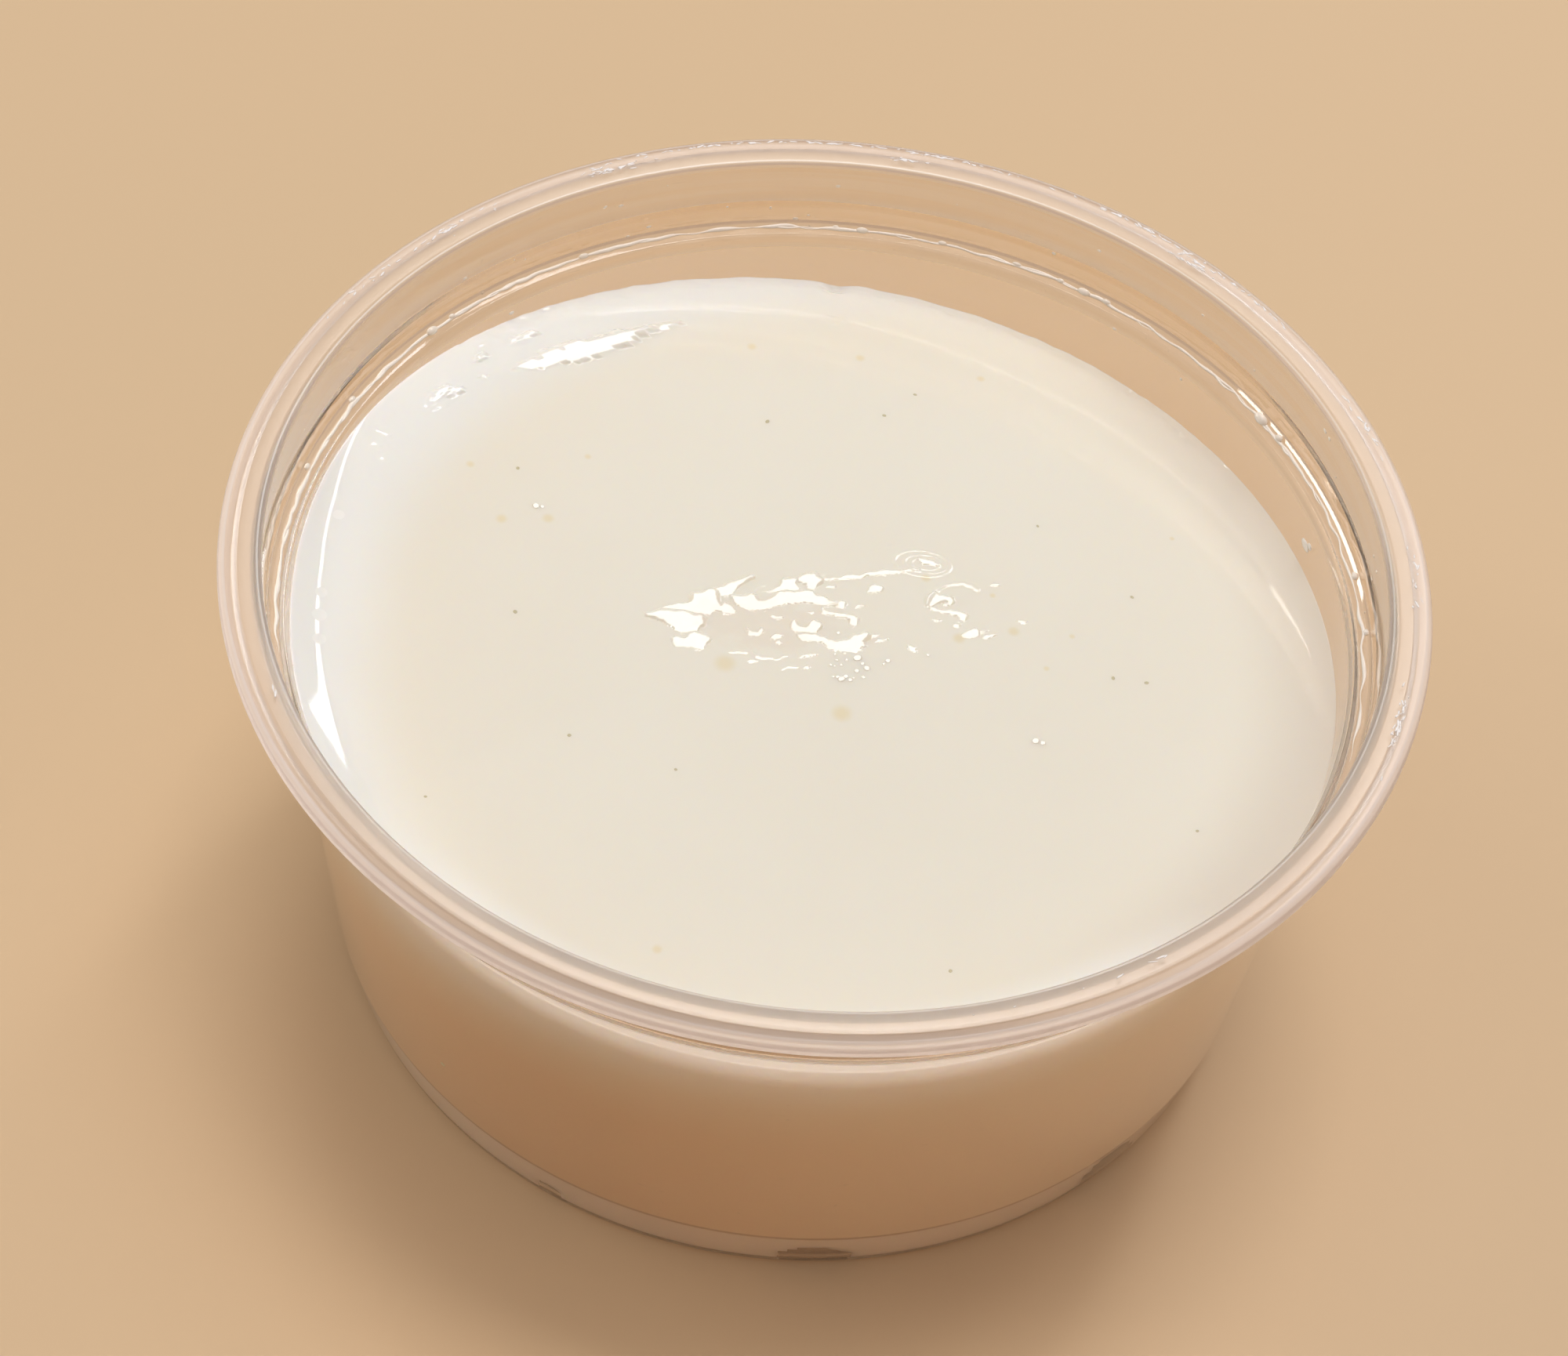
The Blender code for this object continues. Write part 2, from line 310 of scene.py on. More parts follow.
def cream_tints(nodes, x, y, z, flat):
    """The tints over the filling's own colour, in order, each with its share; several of them are painted
    light and painted shade.
    """
    top = nodes.ramp(z, 0.020, 0.0235)
    # Painted reflection: a cool, light edge, wider and stronger at the left, standing in for cool light that
    # the rising edge reflects.
    side = nodes.math("ADD", nodes.times(x, -0.90), nodes.times(y, 0.43))
    toward_left = nodes.ramp(side, -0.010, 0.030)
    cool_sheen_start = nodes.ramp(toward_left, 0.0, 1.0, 0.0310, 0.0240, False)
    edge = nodes.ramp(nodes.math("SUBTRACT", flat, cool_sheen_start), 0.0, 0.0070)
    strength = nodes.ramp(toward_left, 0.0, 1.0, 0.45, 0.95, False)
    yield nodes.times(edge, top, strength), (0.880, 0.905, 0.890)
    yield nodes.times(speck_share(nodes, x, y), top), (0.84, 0.73, 0.47)
    # A warm patch under the stirred peak.
    along = nodes.math("DIVIDE", nodes.math("ADD", x, 0.0032), 0.0052)
    across = nodes.math("DIVIDE", nodes.math("ADD", y, 0.0003), 0.0021)
    patch = nodes.math("ADD", nodes.times(along, along), nodes.times(across, across))
    patch = nodes.math("ADD", patch, nodes.ramp(nodes.noise(nodes.place, 700.0, 3.0), 0.3, 0.7, -0.5, 0.5))
    yield nodes.times(nodes.ramp(patch, 0.3, 1.3, 0.40, 0.0), top), (0.86, 0.765, 0.65)
    # A darker, greyer right edge; and painted light: a whiter front edge, lifting the tinted shade that the
    # rim casts on it.
    right = nodes.times(nodes.ramp(flat, 0.0255, 0.0325, 0.0, 0.85), nodes.ramp(x, 0.010, 0.026))
    yield nodes.times(right, top), (0.74, 0.685, 0.60)
    front = nodes.times(nodes.ramp(flat, 0.0280, 0.0310, 0.0, 0.85), nodes.ramp(y, -0.017, -0.026))
    yield nodes.times(front, top), (0.96, 0.97, 0.95)
    # Painted shade: the lower front of the side darker and warm, as under warm bounce light, darkest to the
    # left; and painted light: a light band at the top of the side.
    low = nodes.times(nodes.ramp(z, 0.0245, 0.0150), nodes.ramp(flat, 0.0295, 0.0302))
    painted_shade_color = nodes.mix(nodes.ramp(x, -0.020, 0.020), (0.875, 0.685, 0.470), (0.900, 0.815, 0.690))
    yield nodes.times(low, nodes.ramp(y, 0.004, -0.018)), painted_shade_color
    # Painted light: a light band just under the top, where light comes down through the filling.
    pale = nodes.times(nodes.ramp(z, 0.0215, 0.0235), nodes.ramp(flat, 0.0326, 0.0328))
    yield pale, (0.96, 0.95, 0.93)
    # Painted reflection: the foot paler than the side above it; and painted shade: the fine dark line above
    # the foot, at the cup's step.
    yield nodes.ramp(z, 0.0041, 0.0037, 0.0, 0.75), (0.93, 0.905, 0.90)
    line = nodes.math("ABSOLUTE", nodes.math("SUBTRACT", z, 0.0040))
    yield nodes.ramp(line, 0.00005, 0.00022, 0.7, 0.0), (0.55, 0.42, 0.33)


def cream_material():
    nodes = Nodes(bpy.data.materials.new("sour_cream_wet"))
    x, y, z, flat = nodes.split()
    base = nodes.mix(nodes.noise(nodes.place, 70.0, 2.0), (0.880, 0.835, 0.720), (0.900, 0.868, 0.768))
    for share, tint in cream_tints(nodes, x, y, z, flat):
        base = nodes.mix(share, base, tint)
    shine = 0.5
    for azimuth, radius, size in DULL_SPOTS:
        gap = nodes.gap(x, y, *polar(azimuth, radius, 0.0)[:2])
        shine = nodes.math("MINIMUM", shine, nodes.ramp(gap, 0.85 * size * MM, size * MM, 0.0, 0.5))
    nodes.shade({
        "Base Color": base, "IOR": 1.55, "Specular IOR Level": shine,
        "Subsurface Weight": 0.5, "Subsurface Radius": (1.0, 0.82, 0.55), "Subsurface Scale": 0.0014,
        "Roughness": nodes.ramp(nodes.noise(nodes.place, 260.0, 3.0), 0.35, 0.7, 0.03, 0.07),
    })
    nodes.bump(nodes.noise(nodes.place, 700.0, 2.0), 0.08, 0.00004)
    return nodes.owner


def plain(name, color, roughness, transmission=0.0, ior=1.4):
    nodes = Nodes(bpy.data.materials.new(name))
    nodes.shade({
        "Base Color": (*color, 1.0), "Roughness": roughness, "Transmission Weight": transmission, "IOR": ior,
    })
    return nodes.owner


# The cup.
def wall_radius(z):
    """Inner radius of the tapered wall, in mm, between the foot line at 4 and the ledge at 28."""
    return 30.47 + (z - 4.0) / 24.0 * 2.41


def cup_profile():
    inside = [
        (0.0, 1.1, 0.0), (26.3, 1.1, 0.5), (27.15, 0.5, 0.5), (29.68, 0.5, 0.75), (30.25, 3.82, 0.25),
        (30.49, 4.18, 0.25), (wall_radius(16.0), 16.0, 0.0), (32.88, 28.0, 0.35), (33.15, 28.55, 0.2),
        (33.74, 28.68, 0.1), (33.92, 28.80, 0.05), (34.15, 29.03, 0.06), (34.17, 29.80, 0.3),
        (34.19, 30.35, 0.3), (34.33, 33.94, 0.42),
    ]
    top = [
        (35.75, 33.92, 0.1), (36.12, 33.97, 0.05), (36.55, 33.97, 0.3), (36.90, 33.79, 0.3),
        (37.0, 33.50, 0.2), (37.0, 33.0, 0.2), (36.16, 33.0, 0.15), (35.86, 33.40, 0.15),
    ]
    outside = [
        (34.83, 33.40, 0.3), (34.62, 30.4, 0.3), (34.70, 29.8, 0.3), (34.60, 29.2, 0.3), (34.46, 28.62, 0.3),
        (34.20, 28.22, 0.3), (33.50, 27.98, 0.35), (33.37, 27.4, 0.3), (wall_radius(16.0) + 0.5, 16.0, 0.0),
        (30.99, 4.18, 0.25), (30.75, 3.82, 0.25), (30.20, 0.0, 0.85), (27.0, 0.0, 0.4), (26.15, 0.6, 0.4),
        (0.0, 0.6, 0.0),
    ]
    return rounded(inside + top + outside)


def make_cup():
    wall = plastic("clear_plastic_wall", haze=0.07, scuffs=0.25, frost=0.04, coat=0.6,
                   tint=(0.955, 0.865, 0.775), warm=(0.91, 0.74, 0.56))
    # The flange and the lip carry painted lines: dark rings of painted shade and light rings of painted
    # highlight.
    flange = plastic("clear_plastic_rim", haze=0.10, scuffs=0.2, frost=0.28, coat=0.0,
                     tint=(0.925, 0.870, 0.815), warm=(0.915, 0.845, 0.78), lines=[
                         (34.42, 0.08, 0.6, (0.55, 0.45, 0.43)), (34.60, 0.09, 0.6, (0.97, 0.95, 0.92)),
                     ])
    lip = plastic("clear_plastic_lip", haze=0.22, scuffs=0.1, frost=0.34, coat=0.0,
                  tint=(0.85, 0.765, 0.705), warm=(0.85, 0.765, 0.705), lines=[
                      (36.34, 0.12, 0.5, (0.57, 0.45, 0.41)), (36.62, 0.12, 0.5, (0.96, 0.92, 0.90)),
                      (36.95, 0.10, 0.5, (0.58, 0.47, 0.43)),
                  ])

    def zone(radius, z):
        """The rim is hazier than the wall, and so is the outer corner of the ledge."""
        if z > 32.9:
            return 2 if radius > 36.3 else 1
        corner = 27.7 < z < 29.0 and radius > 33.3 and (z < 28.4 or radius > 34.2)
        return 1 if corner else 0

    cup = spin("cup_shell", cup_profile(), [wall, flange, lip], zone)
    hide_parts("cup")
    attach(cup, "root")


# The filling.
def near(azimuth, center, spread):
    turn = (azimuth - center + 180.0) % 360.0 - 180.0
    return np.exp(-((turn / spread) ** 2))


def contact_height(azimuth):
    height = HEIGHT - 8.2 - 1.3 * np.cos(np.radians(azimuth - 45.0))
    height = height - 0.6 * np.cos(np.radians(2.0 * (azimuth - 60.0)))
    height = height + 1.1 * near(azimuth, 166.0, 30.0)
    return height - 0.8 * near(azimuth, -90.0, 45.0)


def waves(x, y, seed, count, short, long):
    """Smooth random relief of about unit size: seeded waves between two wavelengths, in mm."""
    draw = random.Random(seed)
    total = np.zeros_like(x)
    for _ in range(count):
        length = math.exp(draw.uniform(math.log(short), math.log(long)))
        angle = draw.uniform(0.0, 2.0 * math.pi)
        phase = draw.uniform(0.0, 2.0 * math.pi)
        along = x * math.cos(angle) + y * math.sin(angle)
        total += length / long * np.sin(along * 2.0 * math.pi / length + phase)
    return total * math.sqrt(2.0 / count)


def bell(x, y, cx, cy, rx, ry, turn=0.0):
    angle = math.radians(turn)
    along = (x - cx) * math.cos(angle) + (y - cy) * math.sin(angle)
    across = -(x - cx) * math.sin(angle) + (y - cy) * math.cos(angle)
    return np.exp(-((along / rx) ** 2) - (across / ry) ** 2)


def line_gap(x, y, line):
    """Distance to a line through points (x, y)."""
    best = np.full(x.shape, 1e9)
    for (ax, ay), (bx, by) in zip(line, line[1:]):
        dx, dy = bx - ax, by - ay
        share = np.clip(((x - ax) * dx + (y - ay) * dy) / (dx * dx + dy * dy), 0.0, 1.0)
        best = np.minimum(best, np.hypot(x - ax - share * dx, y - ay - share * dy))
    return best


def outside_gap(x, y, outline):
    """Distance to a closed outline for points outside it, and 0 inside."""
    outline = outline + outline[:1]
    inside = np.zeros(x.shape, bool)
    for (ax, ay), (bx, by) in zip(outline, outline[1:]):
        if by != ay:
            inside ^= ((ay > y) != (by > y)) & (x < ax + (y - ay) * (bx - ax) / (by - ay))
    return np.where(inside, 0.0, line_gap(x, y, outline))


def ripple(x, y, cx, cy, radius, width, rise, flat):
    """A low ring round a point, like the edge that a burst bubble leaves."""
    gap = np.hypot(x - cx, (y - cy) / flat) - radius
    return rise * np.exp(-((gap / width) ** 2))


# Where the stirred surface leans towards the front: for each lean patch its foot line and its
# outline, as (x, y) in mm seen from the front at the level of the middle.
LEAN = 0.205
LEVEL = 26.4
# How far a point moves towards the front, seen from the camera, for each mm that it rises.
SIGHT = 0.91
PATCHES = [
    # The stirred peak in the middle and its curls.
    ([(-9.1, -3.1), (-6.8, -3.1)],
     [(-9.0, -2.38), (-8.85, -2.3), (-8.2, -2.38), (-8.1, -2.2), (-8.05, -1.95), (-7.7, -1.72),
      (-7.4, -1.75), (-7.0, -1.95), (-6.85, -2.2), (-7.0, -2.6), (-7.1, -3.0), (-7.25, -3.15),
      (-7.5, -3.12), (-7.7, -2.95), (-8.3, -2.95), (-8.8, -2.98), (-8.9, -2.8)]),
    ([(-11.0, -1.5), (-9.5, -1.75), (-8.3, -2.0), (-7.2, -2.1)],
     [(-10.85, -0.7), (-10.4, -0.55), (-10.0, -0.2), (-9.4, -0.22), (-8.9, -0.15), (-8.4, -0.15),
      (-8.0, -0.28), (-7.4, -0.4), (-7.3, -0.9), (-7.55, -1.2), (-7.65, -1.65), (-8.0, -1.9),
      (-8.3, -1.85), (-8.55, -1.9), (-8.7, -2.2), (-8.95, -2.15), (-8.95, -1.5), (-9.2, -1.4),
      (-9.5, -1.25), (-9.8, -0.95), (-10.2, -0.75), (-10.6, -0.8)]),
    ([(-10.2, -0.2), (-8.5, -0.3), (-7.4, -0.35), (-6.2, 0.15)],
     [(-10.0, -0.12), (-9.5, 0.25), (-9.0, 0.42), (-8.5, 0.55), (-8.2, 0.7), (-8.1, 1.15), (-8.0, 1.42),
      (-7.6, 1.6), (-7.3, 1.75), (-6.95, 1.95), (-6.75, 1.45), (-6.55, 0.9), (-6.35, 0.5), (-6.3, 0.27),
      (-6.8, 0.15), (-7.1, -0.1), (-7.35, -0.3), (-8.0, -0.18), (-8.5, -0.05), (-9.3, -0.12)]),
    ([(-7.2, 1.3), (-6.2, 1.45), (-5.6, 1.7), (-4.5, 2.8)],
     [(-7.0, 1.55), (-6.95, 1.98), (-6.3, 2.3), (-6.0, 2.6), (-5.4, 3.0), (-4.6, 3.47), (-5.2, 2.85),
      (-5.5, 2.45), (-5.75, 1.9), (-5.7, 1.65), (-6.2, 1.52), (-6.6, 1.55)]),
    ([(-6.4, 0.0), (-5.3, 0.1)],
     [(-6.3, 0.5), (-6.1, 0.95), (-5.8, 0.8), (-5.4, 0.35), (-5.6, 0.2), (-6.1, 0.05), (-6.3, 0.27)]),
    ([(-5.8, 0.75), (-4.7, 0.5), (-3.6, 0.7), (-2.5, 1.2), (-1.3, 1.6), (-0.3, 1.6), (1.5, 1.5)],
     [(-5.7, 1.6), (-5.2, 1.6), (-4.8, 1.75), (-4.5, 1.95), (-4.3, 1.8), (-4.15, 1.45), (-3.95, 1.35),
      (-3.6, 1.5), (-3.3, 1.7), (-3.0, 2.0), (-2.75, 2.35), (-2.3, 2.42), (-1.9, 2.45), (-1.4, 2.6),
      (-0.8, 2.7), (-0.5, 2.4), (-0.2, 2.35), (0.2, 2.2), (0.6, 2.08), (1.0, 2.12), (1.35, 2.05),
      (1.3, 1.7), (1.1, 1.62), (0.8, 1.78), (0.3, 1.65), (0.05, 1.5), (-0.3, 1.72), (-0.7, 1.8),
      (-1.3, 1.8), (-2.0, 1.6), (-2.5, 1.35), (-3.0, 1.2), (-3.3, 0.95), (-3.6, 0.7), (-4.2, 0.65),
      (-4.7, 0.57), (-5.0, 0.65), (-5.3, 0.95), (-5.55, 1.35)]),
    ([(-3.6, 2.15), (-2.6, 2.35), (-1.6, 2.65)],
     [(-3.5, 2.32), (-3.0, 2.62), (-2.75, 2.9), (-2.68, 3.3), (-2.5, 3.55), (-2.2, 3.62), (-1.9, 3.6),
      (-1.95, 3.3), (-1.75, 2.95), (-1.6, 2.85), (-1.75, 2.7), (-2.2, 2.55), (-2.6, 2.55), (-2.95, 2.42)]),
    ([(-2.0, 3.1), (-1.2, 2.9), (-0.3, 2.75)],
     [(-1.9, 3.6), (-1.5, 3.85), (-1.2, 4.1), (-0.9, 4.2), (-0.8, 4.3), (-0.65, 3.95), (-0.35, 3.85),
      (-0.55, 3.4), (-0.65, 3.0), (-0.55, 2.75), (-0.9, 2.75), (-1.05, 3.0), (-1.15, 3.35), (-1.6, 3.42)]),
    ([(-0.4, 3.7), (1.0, 3.85), (2.2, 4.2), (3.4, 4.65), (4.7, 5.1), (5.9, 5.5)],
     [(-0.3, 3.86), (0.8, 4.1), (1.3, 4.35), (1.8, 4.52), (2.2, 4.5), (2.6, 4.74), (3.2, 5.0), (3.5, 5.22),
      (4.0, 5.2), (4.7, 5.3), (5.8, 5.62), (5.8, 5.54), (4.7, 5.18), (4.2, 5.0), (3.6, 4.78), (3.3, 4.85),
      (2.6, 4.64), (2.2, 4.36), (1.9, 4.3), (1.2, 4.05), (1.0, 3.93), (0.8, 4.0), (-0.3, 3.8)]),
    ([(-0.1, 0.95), (1.2, 0.75), (1.8, 0.3), (2.4, 0.05)],
     [(0.0, 1.5), (0.15, 1.25), (0.9, 1.12), (1.6, 1.08), (2.0, 1.12), (2.25, 1.0), (2.28, 0.7),
      (2.1, 0.3), (1.9, 0.1), (1.75, 0.15), (1.8, 0.5), (1.85, 0.7), (1.6, 0.88), (0.9, 0.95), (0.0, 1.05),
      (-0.05, 1.3)]),
    ([(-2.0, -0.75), (-1.2, -0.85), (0.0, -0.85)],
     [(-1.75, 0.1), (-1.5, -0.2), (-1.3, -0.35), (-1.0, -0.4), (-0.75, -0.25), (-0.65, 0.1), (-0.45, 0.3),
      (-0.35, 0.15), (-0.1, 0.2), (0.0, 0.05), (-0.3, -0.55), (-0.35, -0.8), (-1.0, -0.8), (-1.5, -0.75),
      (-1.75, -0.5), (-1.85, -0.2)]),
    ([(-1.4, -1.4), (0.0, -1.55), (1.0, -2.0), (2.0, -2.0), (3.0, -1.75)],
     [(-1.0, -0.84), (-0.35, -0.82), (0.1, -0.95), (0.5, -1.1), (1.0, -1.15), (1.5, -1.1), (1.9, -0.9),
      (2.3, -0.55), (2.85, -0.15), (2.95, -0.3), (2.65, -0.8), (2.85, -1.2), (2.55, -1.4), (2.8, -1.85),
      (2.2, -1.85), (1.9, -1.8), (1.65, -2.0), (1.3, -1.85), (1.0, -1.95), (0.6, -1.7), (0.3, -1.45),
      (0.0, -1.3), (-0.4, -1.25), (-0.8, -1.3), (-1.1, -1.4), (-1.3, -1.25), (-1.3, -1.0)]),
    ([(3.1, -0.7), (3.6, -0.5)], [(3.2, -0.55), (3.35, -0.3), (3.6, -0.2), (3.5, -0.4)]),
    ([(3.4, -1.0), (4.2, -0.8)], [(3.5, -0.95), (3.7, -0.65), (4.2, -0.48), (4.0, -0.62), (3.65, -0.95)]),
    ([(2.7, 3.1), (3.7, 3.1)],
     [(2.75, 3.3), (2.85, 3.65), (3.1, 3.85), (3.4, 3.88), (3.6, 3.65), (3.5, 3.4), (3.2, 3.25),
      (2.95, 3.18)]),
    ([(0.1, 3.05), (0.7, 3.15)], [(0.15, 3.2), (0.25, 3.38), (0.6, 3.42), (0.55, 3.25)]),
    ([(2.0, 1.7), (2.7, 1.85)], [(2.1, 1.85), (2.3, 2.02), (2.6, 2.08), (2.4, 1.9)]),
    ([(6.3, 2.4), (7.2, 2.6), (8.3, 2.8)],
     [(6.45, 2.6), (6.5, 3.0), (6.7, 3.5), (6.95, 3.8), (7.1, 3.6), (7.5, 3.58), (7.95, 3.54),
      (8.12, 3.25), (7.95, 3.0), (7.6, 2.9), (7.85, 3.1), (7.85, 3.3), (7.5, 3.32), (7.2, 3.1),
      (6.95, 2.75), (6.7, 2.5)]),
    ([(6.5, 2.25), (7.8, 2.1), (8.5, 1.75), (9.1, 1.55)],
     [(6.7, 2.5), (7.6, 2.42), (8.3, 2.45), (8.8, 2.47), (9.0, 2.25), (8.95, 1.9), (8.78, 1.5),
      (8.55, 1.6), (8.65, 2.0), (8.5, 2.2), (7.8, 2.25), (7.0, 2.35), (6.7, 2.4)]),
    ([(8.3, 1.05), (8.7, 1.1)], [(8.35, 1.15), (8.4, 1.35), (8.6, 1.35), (8.65, 1.15)]),
    ([(8.8, 0.3), (9.9, 0.4)],
     [(8.85, 0.5), (9.2, 0.9), (9.6, 1.2), (9.85, 0.95), (9.9, 0.65), (9.5, 0.45), (9.0, 0.4)]),
    ([(9.9, 0.7), (10.4, 0.85)], [(9.95, 0.8), (10.1, 1.05), (10.4, 1.15), (10.2, 0.85)]),
    ([(10.2, 0.25), (10.9, 0.5)], [(10.2, 0.35), (10.4, 0.75), (10.9, 0.88), (10.6, 0.6), (10.3, 0.35)]),
    ([(10.4, 4.8), (11.0, 4.9)], [(10.45, 4.95), (10.6, 5.12), (10.95, 5.1), (10.7, 4.95)]),
    ([(12.2, 2.0), (12.9, 2.0)], [(12.3, 2.2), (12.5, 2.28), (12.85, 2.2), (12.6, 2.1)]),
    ([(6.9, 1.3), (7.5, 1.35)], [(7.0, 1.5), (7.2, 1.6), (7.45, 1.55), (7.2, 1.4)]),
    ([(5.6, -1.3), (6.1, -1.4)], [(5.65, -0.85), (5.9, -0.95), (6.05, -1.3), (5.8, -1.15), (5.65, -1.0)]),
    ([(-4.6, -1.6), (-3.5, -1.5)],
     [(-4.5, -0.95), (-4.3, -1.15), (-3.8, -1.15), (-3.65, -0.8), (-3.55, -1.0), (-3.75, -1.35),
      (-4.1, -1.6), (-4.35, -1.45)]),
    ([(-3.1, -1.65), (-2.2, -1.5)],
     [(-3.0, -1.45), (-2.75, -1.2), (-2.3, -1.15), (-2.4, -1.4), (-2.8, -1.58)]),
    ([(-2.7, -2.0), (-2.3, -2.0)], [(-2.62, -1.85), (-2.5, -1.65), (-2.38, -1.85), (-2.5, -1.95)]),
    ([(-3.1, 0.1), (-2.4, 0.1)],
     [(-3.05, 0.38), (-2.8, 0.25), (-2.5, 0.4), (-2.42, 0.3), (-2.6, 0.12), (-2.85, 0.14)]),
    ([(-1.2, -3.1), (-0.1, -2.65)],
     [(-1.1, -2.95), (-0.95, -2.7), (-0.5, -2.5), (-0.1, -2.38), (-0.6, -2.65)]),
    ([(-4.2, -3.75), (-3.6, -3.7)], [(-4.15, -3.62), (-4.0, -3.48), (-3.68, -3.48), (-3.75, -3.6)]),
    ([(-0.8, -3.85), (-0.45, -3.75)], [(-0.75, -3.75), (-0.6, -3.45), (-0.48, -3.5), (-0.55, -3.75)]),
    ([(-1.0, 0.8), (-0.5, 0.85)], [(-0.95, 0.9), (-0.75, 1.02), (-0.55, 0.98), (-0.7, 0.86)]),
    # The long swell at the back left, and the small one past its end.
    ([(-22.2, 18.7), (-20.0, 19.4), (-18.0, 20.3), (-16.0, 21.3), (-14.4, 22.1), (-13.4, 22.7)],
     [(-22.0, 19.0), (-21.5, 19.5), (-20.8, 19.45), (-20.2, 19.55), (-19.7, 19.85), (-19.0, 20.35),
      (-18.5, 20.55), (-18.0, 20.55), (-17.5, 20.85), (-17.0, 21.1), (-16.5, 21.6), (-16.0, 22.0),
      (-15.4, 22.6), (-15.0, 22.7), (-14.7, 23.2), (-14.4, 23.5), (-14.5, 23.75), (-13.65, 24.7),
      (-14.4, 24.1), (-15.0, 23.85), (-15.5, 23.98), (-15.8, 23.8), (-16.0, 23.45), (-16.5, 23.2),
      (-17.0, 22.85), (-17.5, 22.5), (-18.4, 22.42), (-18.8, 22.1), (-19.1, 21.5), (-19.8, 21.4),
      (-20.0, 21.1), (-20.5, 20.4), (-21.0, 20.15)]),
    ([(-13.1, 24.1), (-11.7, 24.6)],
     [(-12.95, 24.4), (-12.5, 24.5), (-12.25, 24.9), (-11.75, 25.4), (-11.85, 25.5), (-12.5, 25.1),
      (-12.95, 25.0)]),
    # The skin left inside the burst bubble.
    ([(5.7, 5.95), (6.9, 5.9)],
     [(5.75, 6.5), (6.2, 6.6), (6.6, 6.45), (6.95, 6.15), (6.6, 6.08), (6.3, 6.15), (6.0, 6.25)]),
    # Small curls near the left wall.
    ([(-26.9, 15.3), (-25.0, 15.9)],
     [(-26.7, 15.5), (-26.5, 16.3), (-25.9, 16.9), (-25.1, 16.85), (-25.5, 16.3), (-26.1, 15.7)]),
    ([(-22.7, 21.3), (-21.1, 22.0)],
     [(-22.5, 21.6), (-22.1, 22.2), (-21.3, 22.9), (-21.0, 22.8), (-21.4, 22.3), (-22.0, 21.8)]),
    ([(-24.6, 19.1), (-24.0, 19.4)],
     [(-24.5, 19.4), (-24.35, 20.0), (-24.05, 20.4), (-23.95, 20.2), (-24.2, 19.6)]),
    ([(-24.0, 17.9), (-23.5, 18.0)], [(-23.95, 18.05), (-23.85, 18.3), (-23.6, 18.35), (-23.65, 18.1)]),
]
# Thin raised lines: (points, width, rise) in mm.
STROKES = [
    ([(-5.4, -3.03), (-5.0, -2.95), (-4.3, -2.88)], 0.09, 0.022),
    ([(-4.0, -2.88), (-3.75, -3.12), (-3.3, -3.2), (-2.7, -3.12)], 0.1, 0.026),
    ([(-2.5, -3.18), (-2.2, -3.0), (-1.9, -2.82)], 0.09, 0.022),
    ([(-2.0, -3.95), (-1.75, -3.7), (-1.1, -3.6)], 0.09, 0.022),
    ([(-4.4, 2.1), (-4.35, 2.5), (-3.8, 2.8)], 0.1, 0.02),
    ([(-3.9, 2.2), (-3.5, 2.35)], 0.08, 0.02),
    ([(6.5, 2.7), (6.55, 3.1), (6.8, 3.6), (7.1, 4.1), (7.6, 4.5), (8.1, 4.75), (8.8, 4.83),
      (9.2, 4.73), (9.6, 4.45)], 0.14, 0.052),
    ([(0.05, 1.45), (0.4, 1.7), (0.95, 1.85)], 0.09, 0.02),
    ([(-0.4, 4.1), (-0.1, 4.35), (0.4, 4.35)], 0.09, 0.02),
    ([(3.8, 7.3), (4.5, 7.45)], 0.1, 0.01),
    ([(-27.0, 15.0), (-26.9, 16.0), (-26.5, 16.8), (-25.9, 17.0)], 0.16, 0.058),
    ([(-26.7, 14.6), (-26.0, 15.2), (-25.3, 16.2), (-25.0, 16.9)], 0.16, 0.058),
    ([(-26.7, 15.0), (-26.2, 15.8), (-25.8, 16.6)], 0.15, 0.05),
    ([(-29.9, 12.6), (-29.2, 12.2), (-28.5, 11.4)], 0.14, 0.03),
    ([(-29.8, 11.2), (-29.3, 10.9), (-29.0, 10.0)], 0.14, 0.03),
    ([(-24.5, 19.3), (-24.1, 20.4)], 0.16, 0.035),
    ([(-23.9, 18.2), (-23.6, 17.9)], 0.14, 0.035),
    ([(-22.6, 21.5), (-21.9, 22.3), (-21.3, 22.9)], 0.16, 0.03),
    ([(-22.3, 21.4), (-21.6, 21.8), (-21.2, 22.6), (-21.9, 22.8)], 0.14, 0.03),
]


# The shoulder that the filling forms along the left wall: its width by azimuth, in mm.
SHOULDER = [(136.0, -1.5), (150.0, -0.9), (158.0, -0.35), (164.0, 0.2), (171.0, 0.9), (181.0, 1.5),
            (195.0, 1.8), (212.0, 2.2), (228.0, 1.6), (245.0, 0.0)]
SHOULDER_RISE = 0.45
SHOULDER_BEND = 0.20
# Height of the middle of the surface, before its broad mound.
MIDDLE = HEIGHT - 7.95


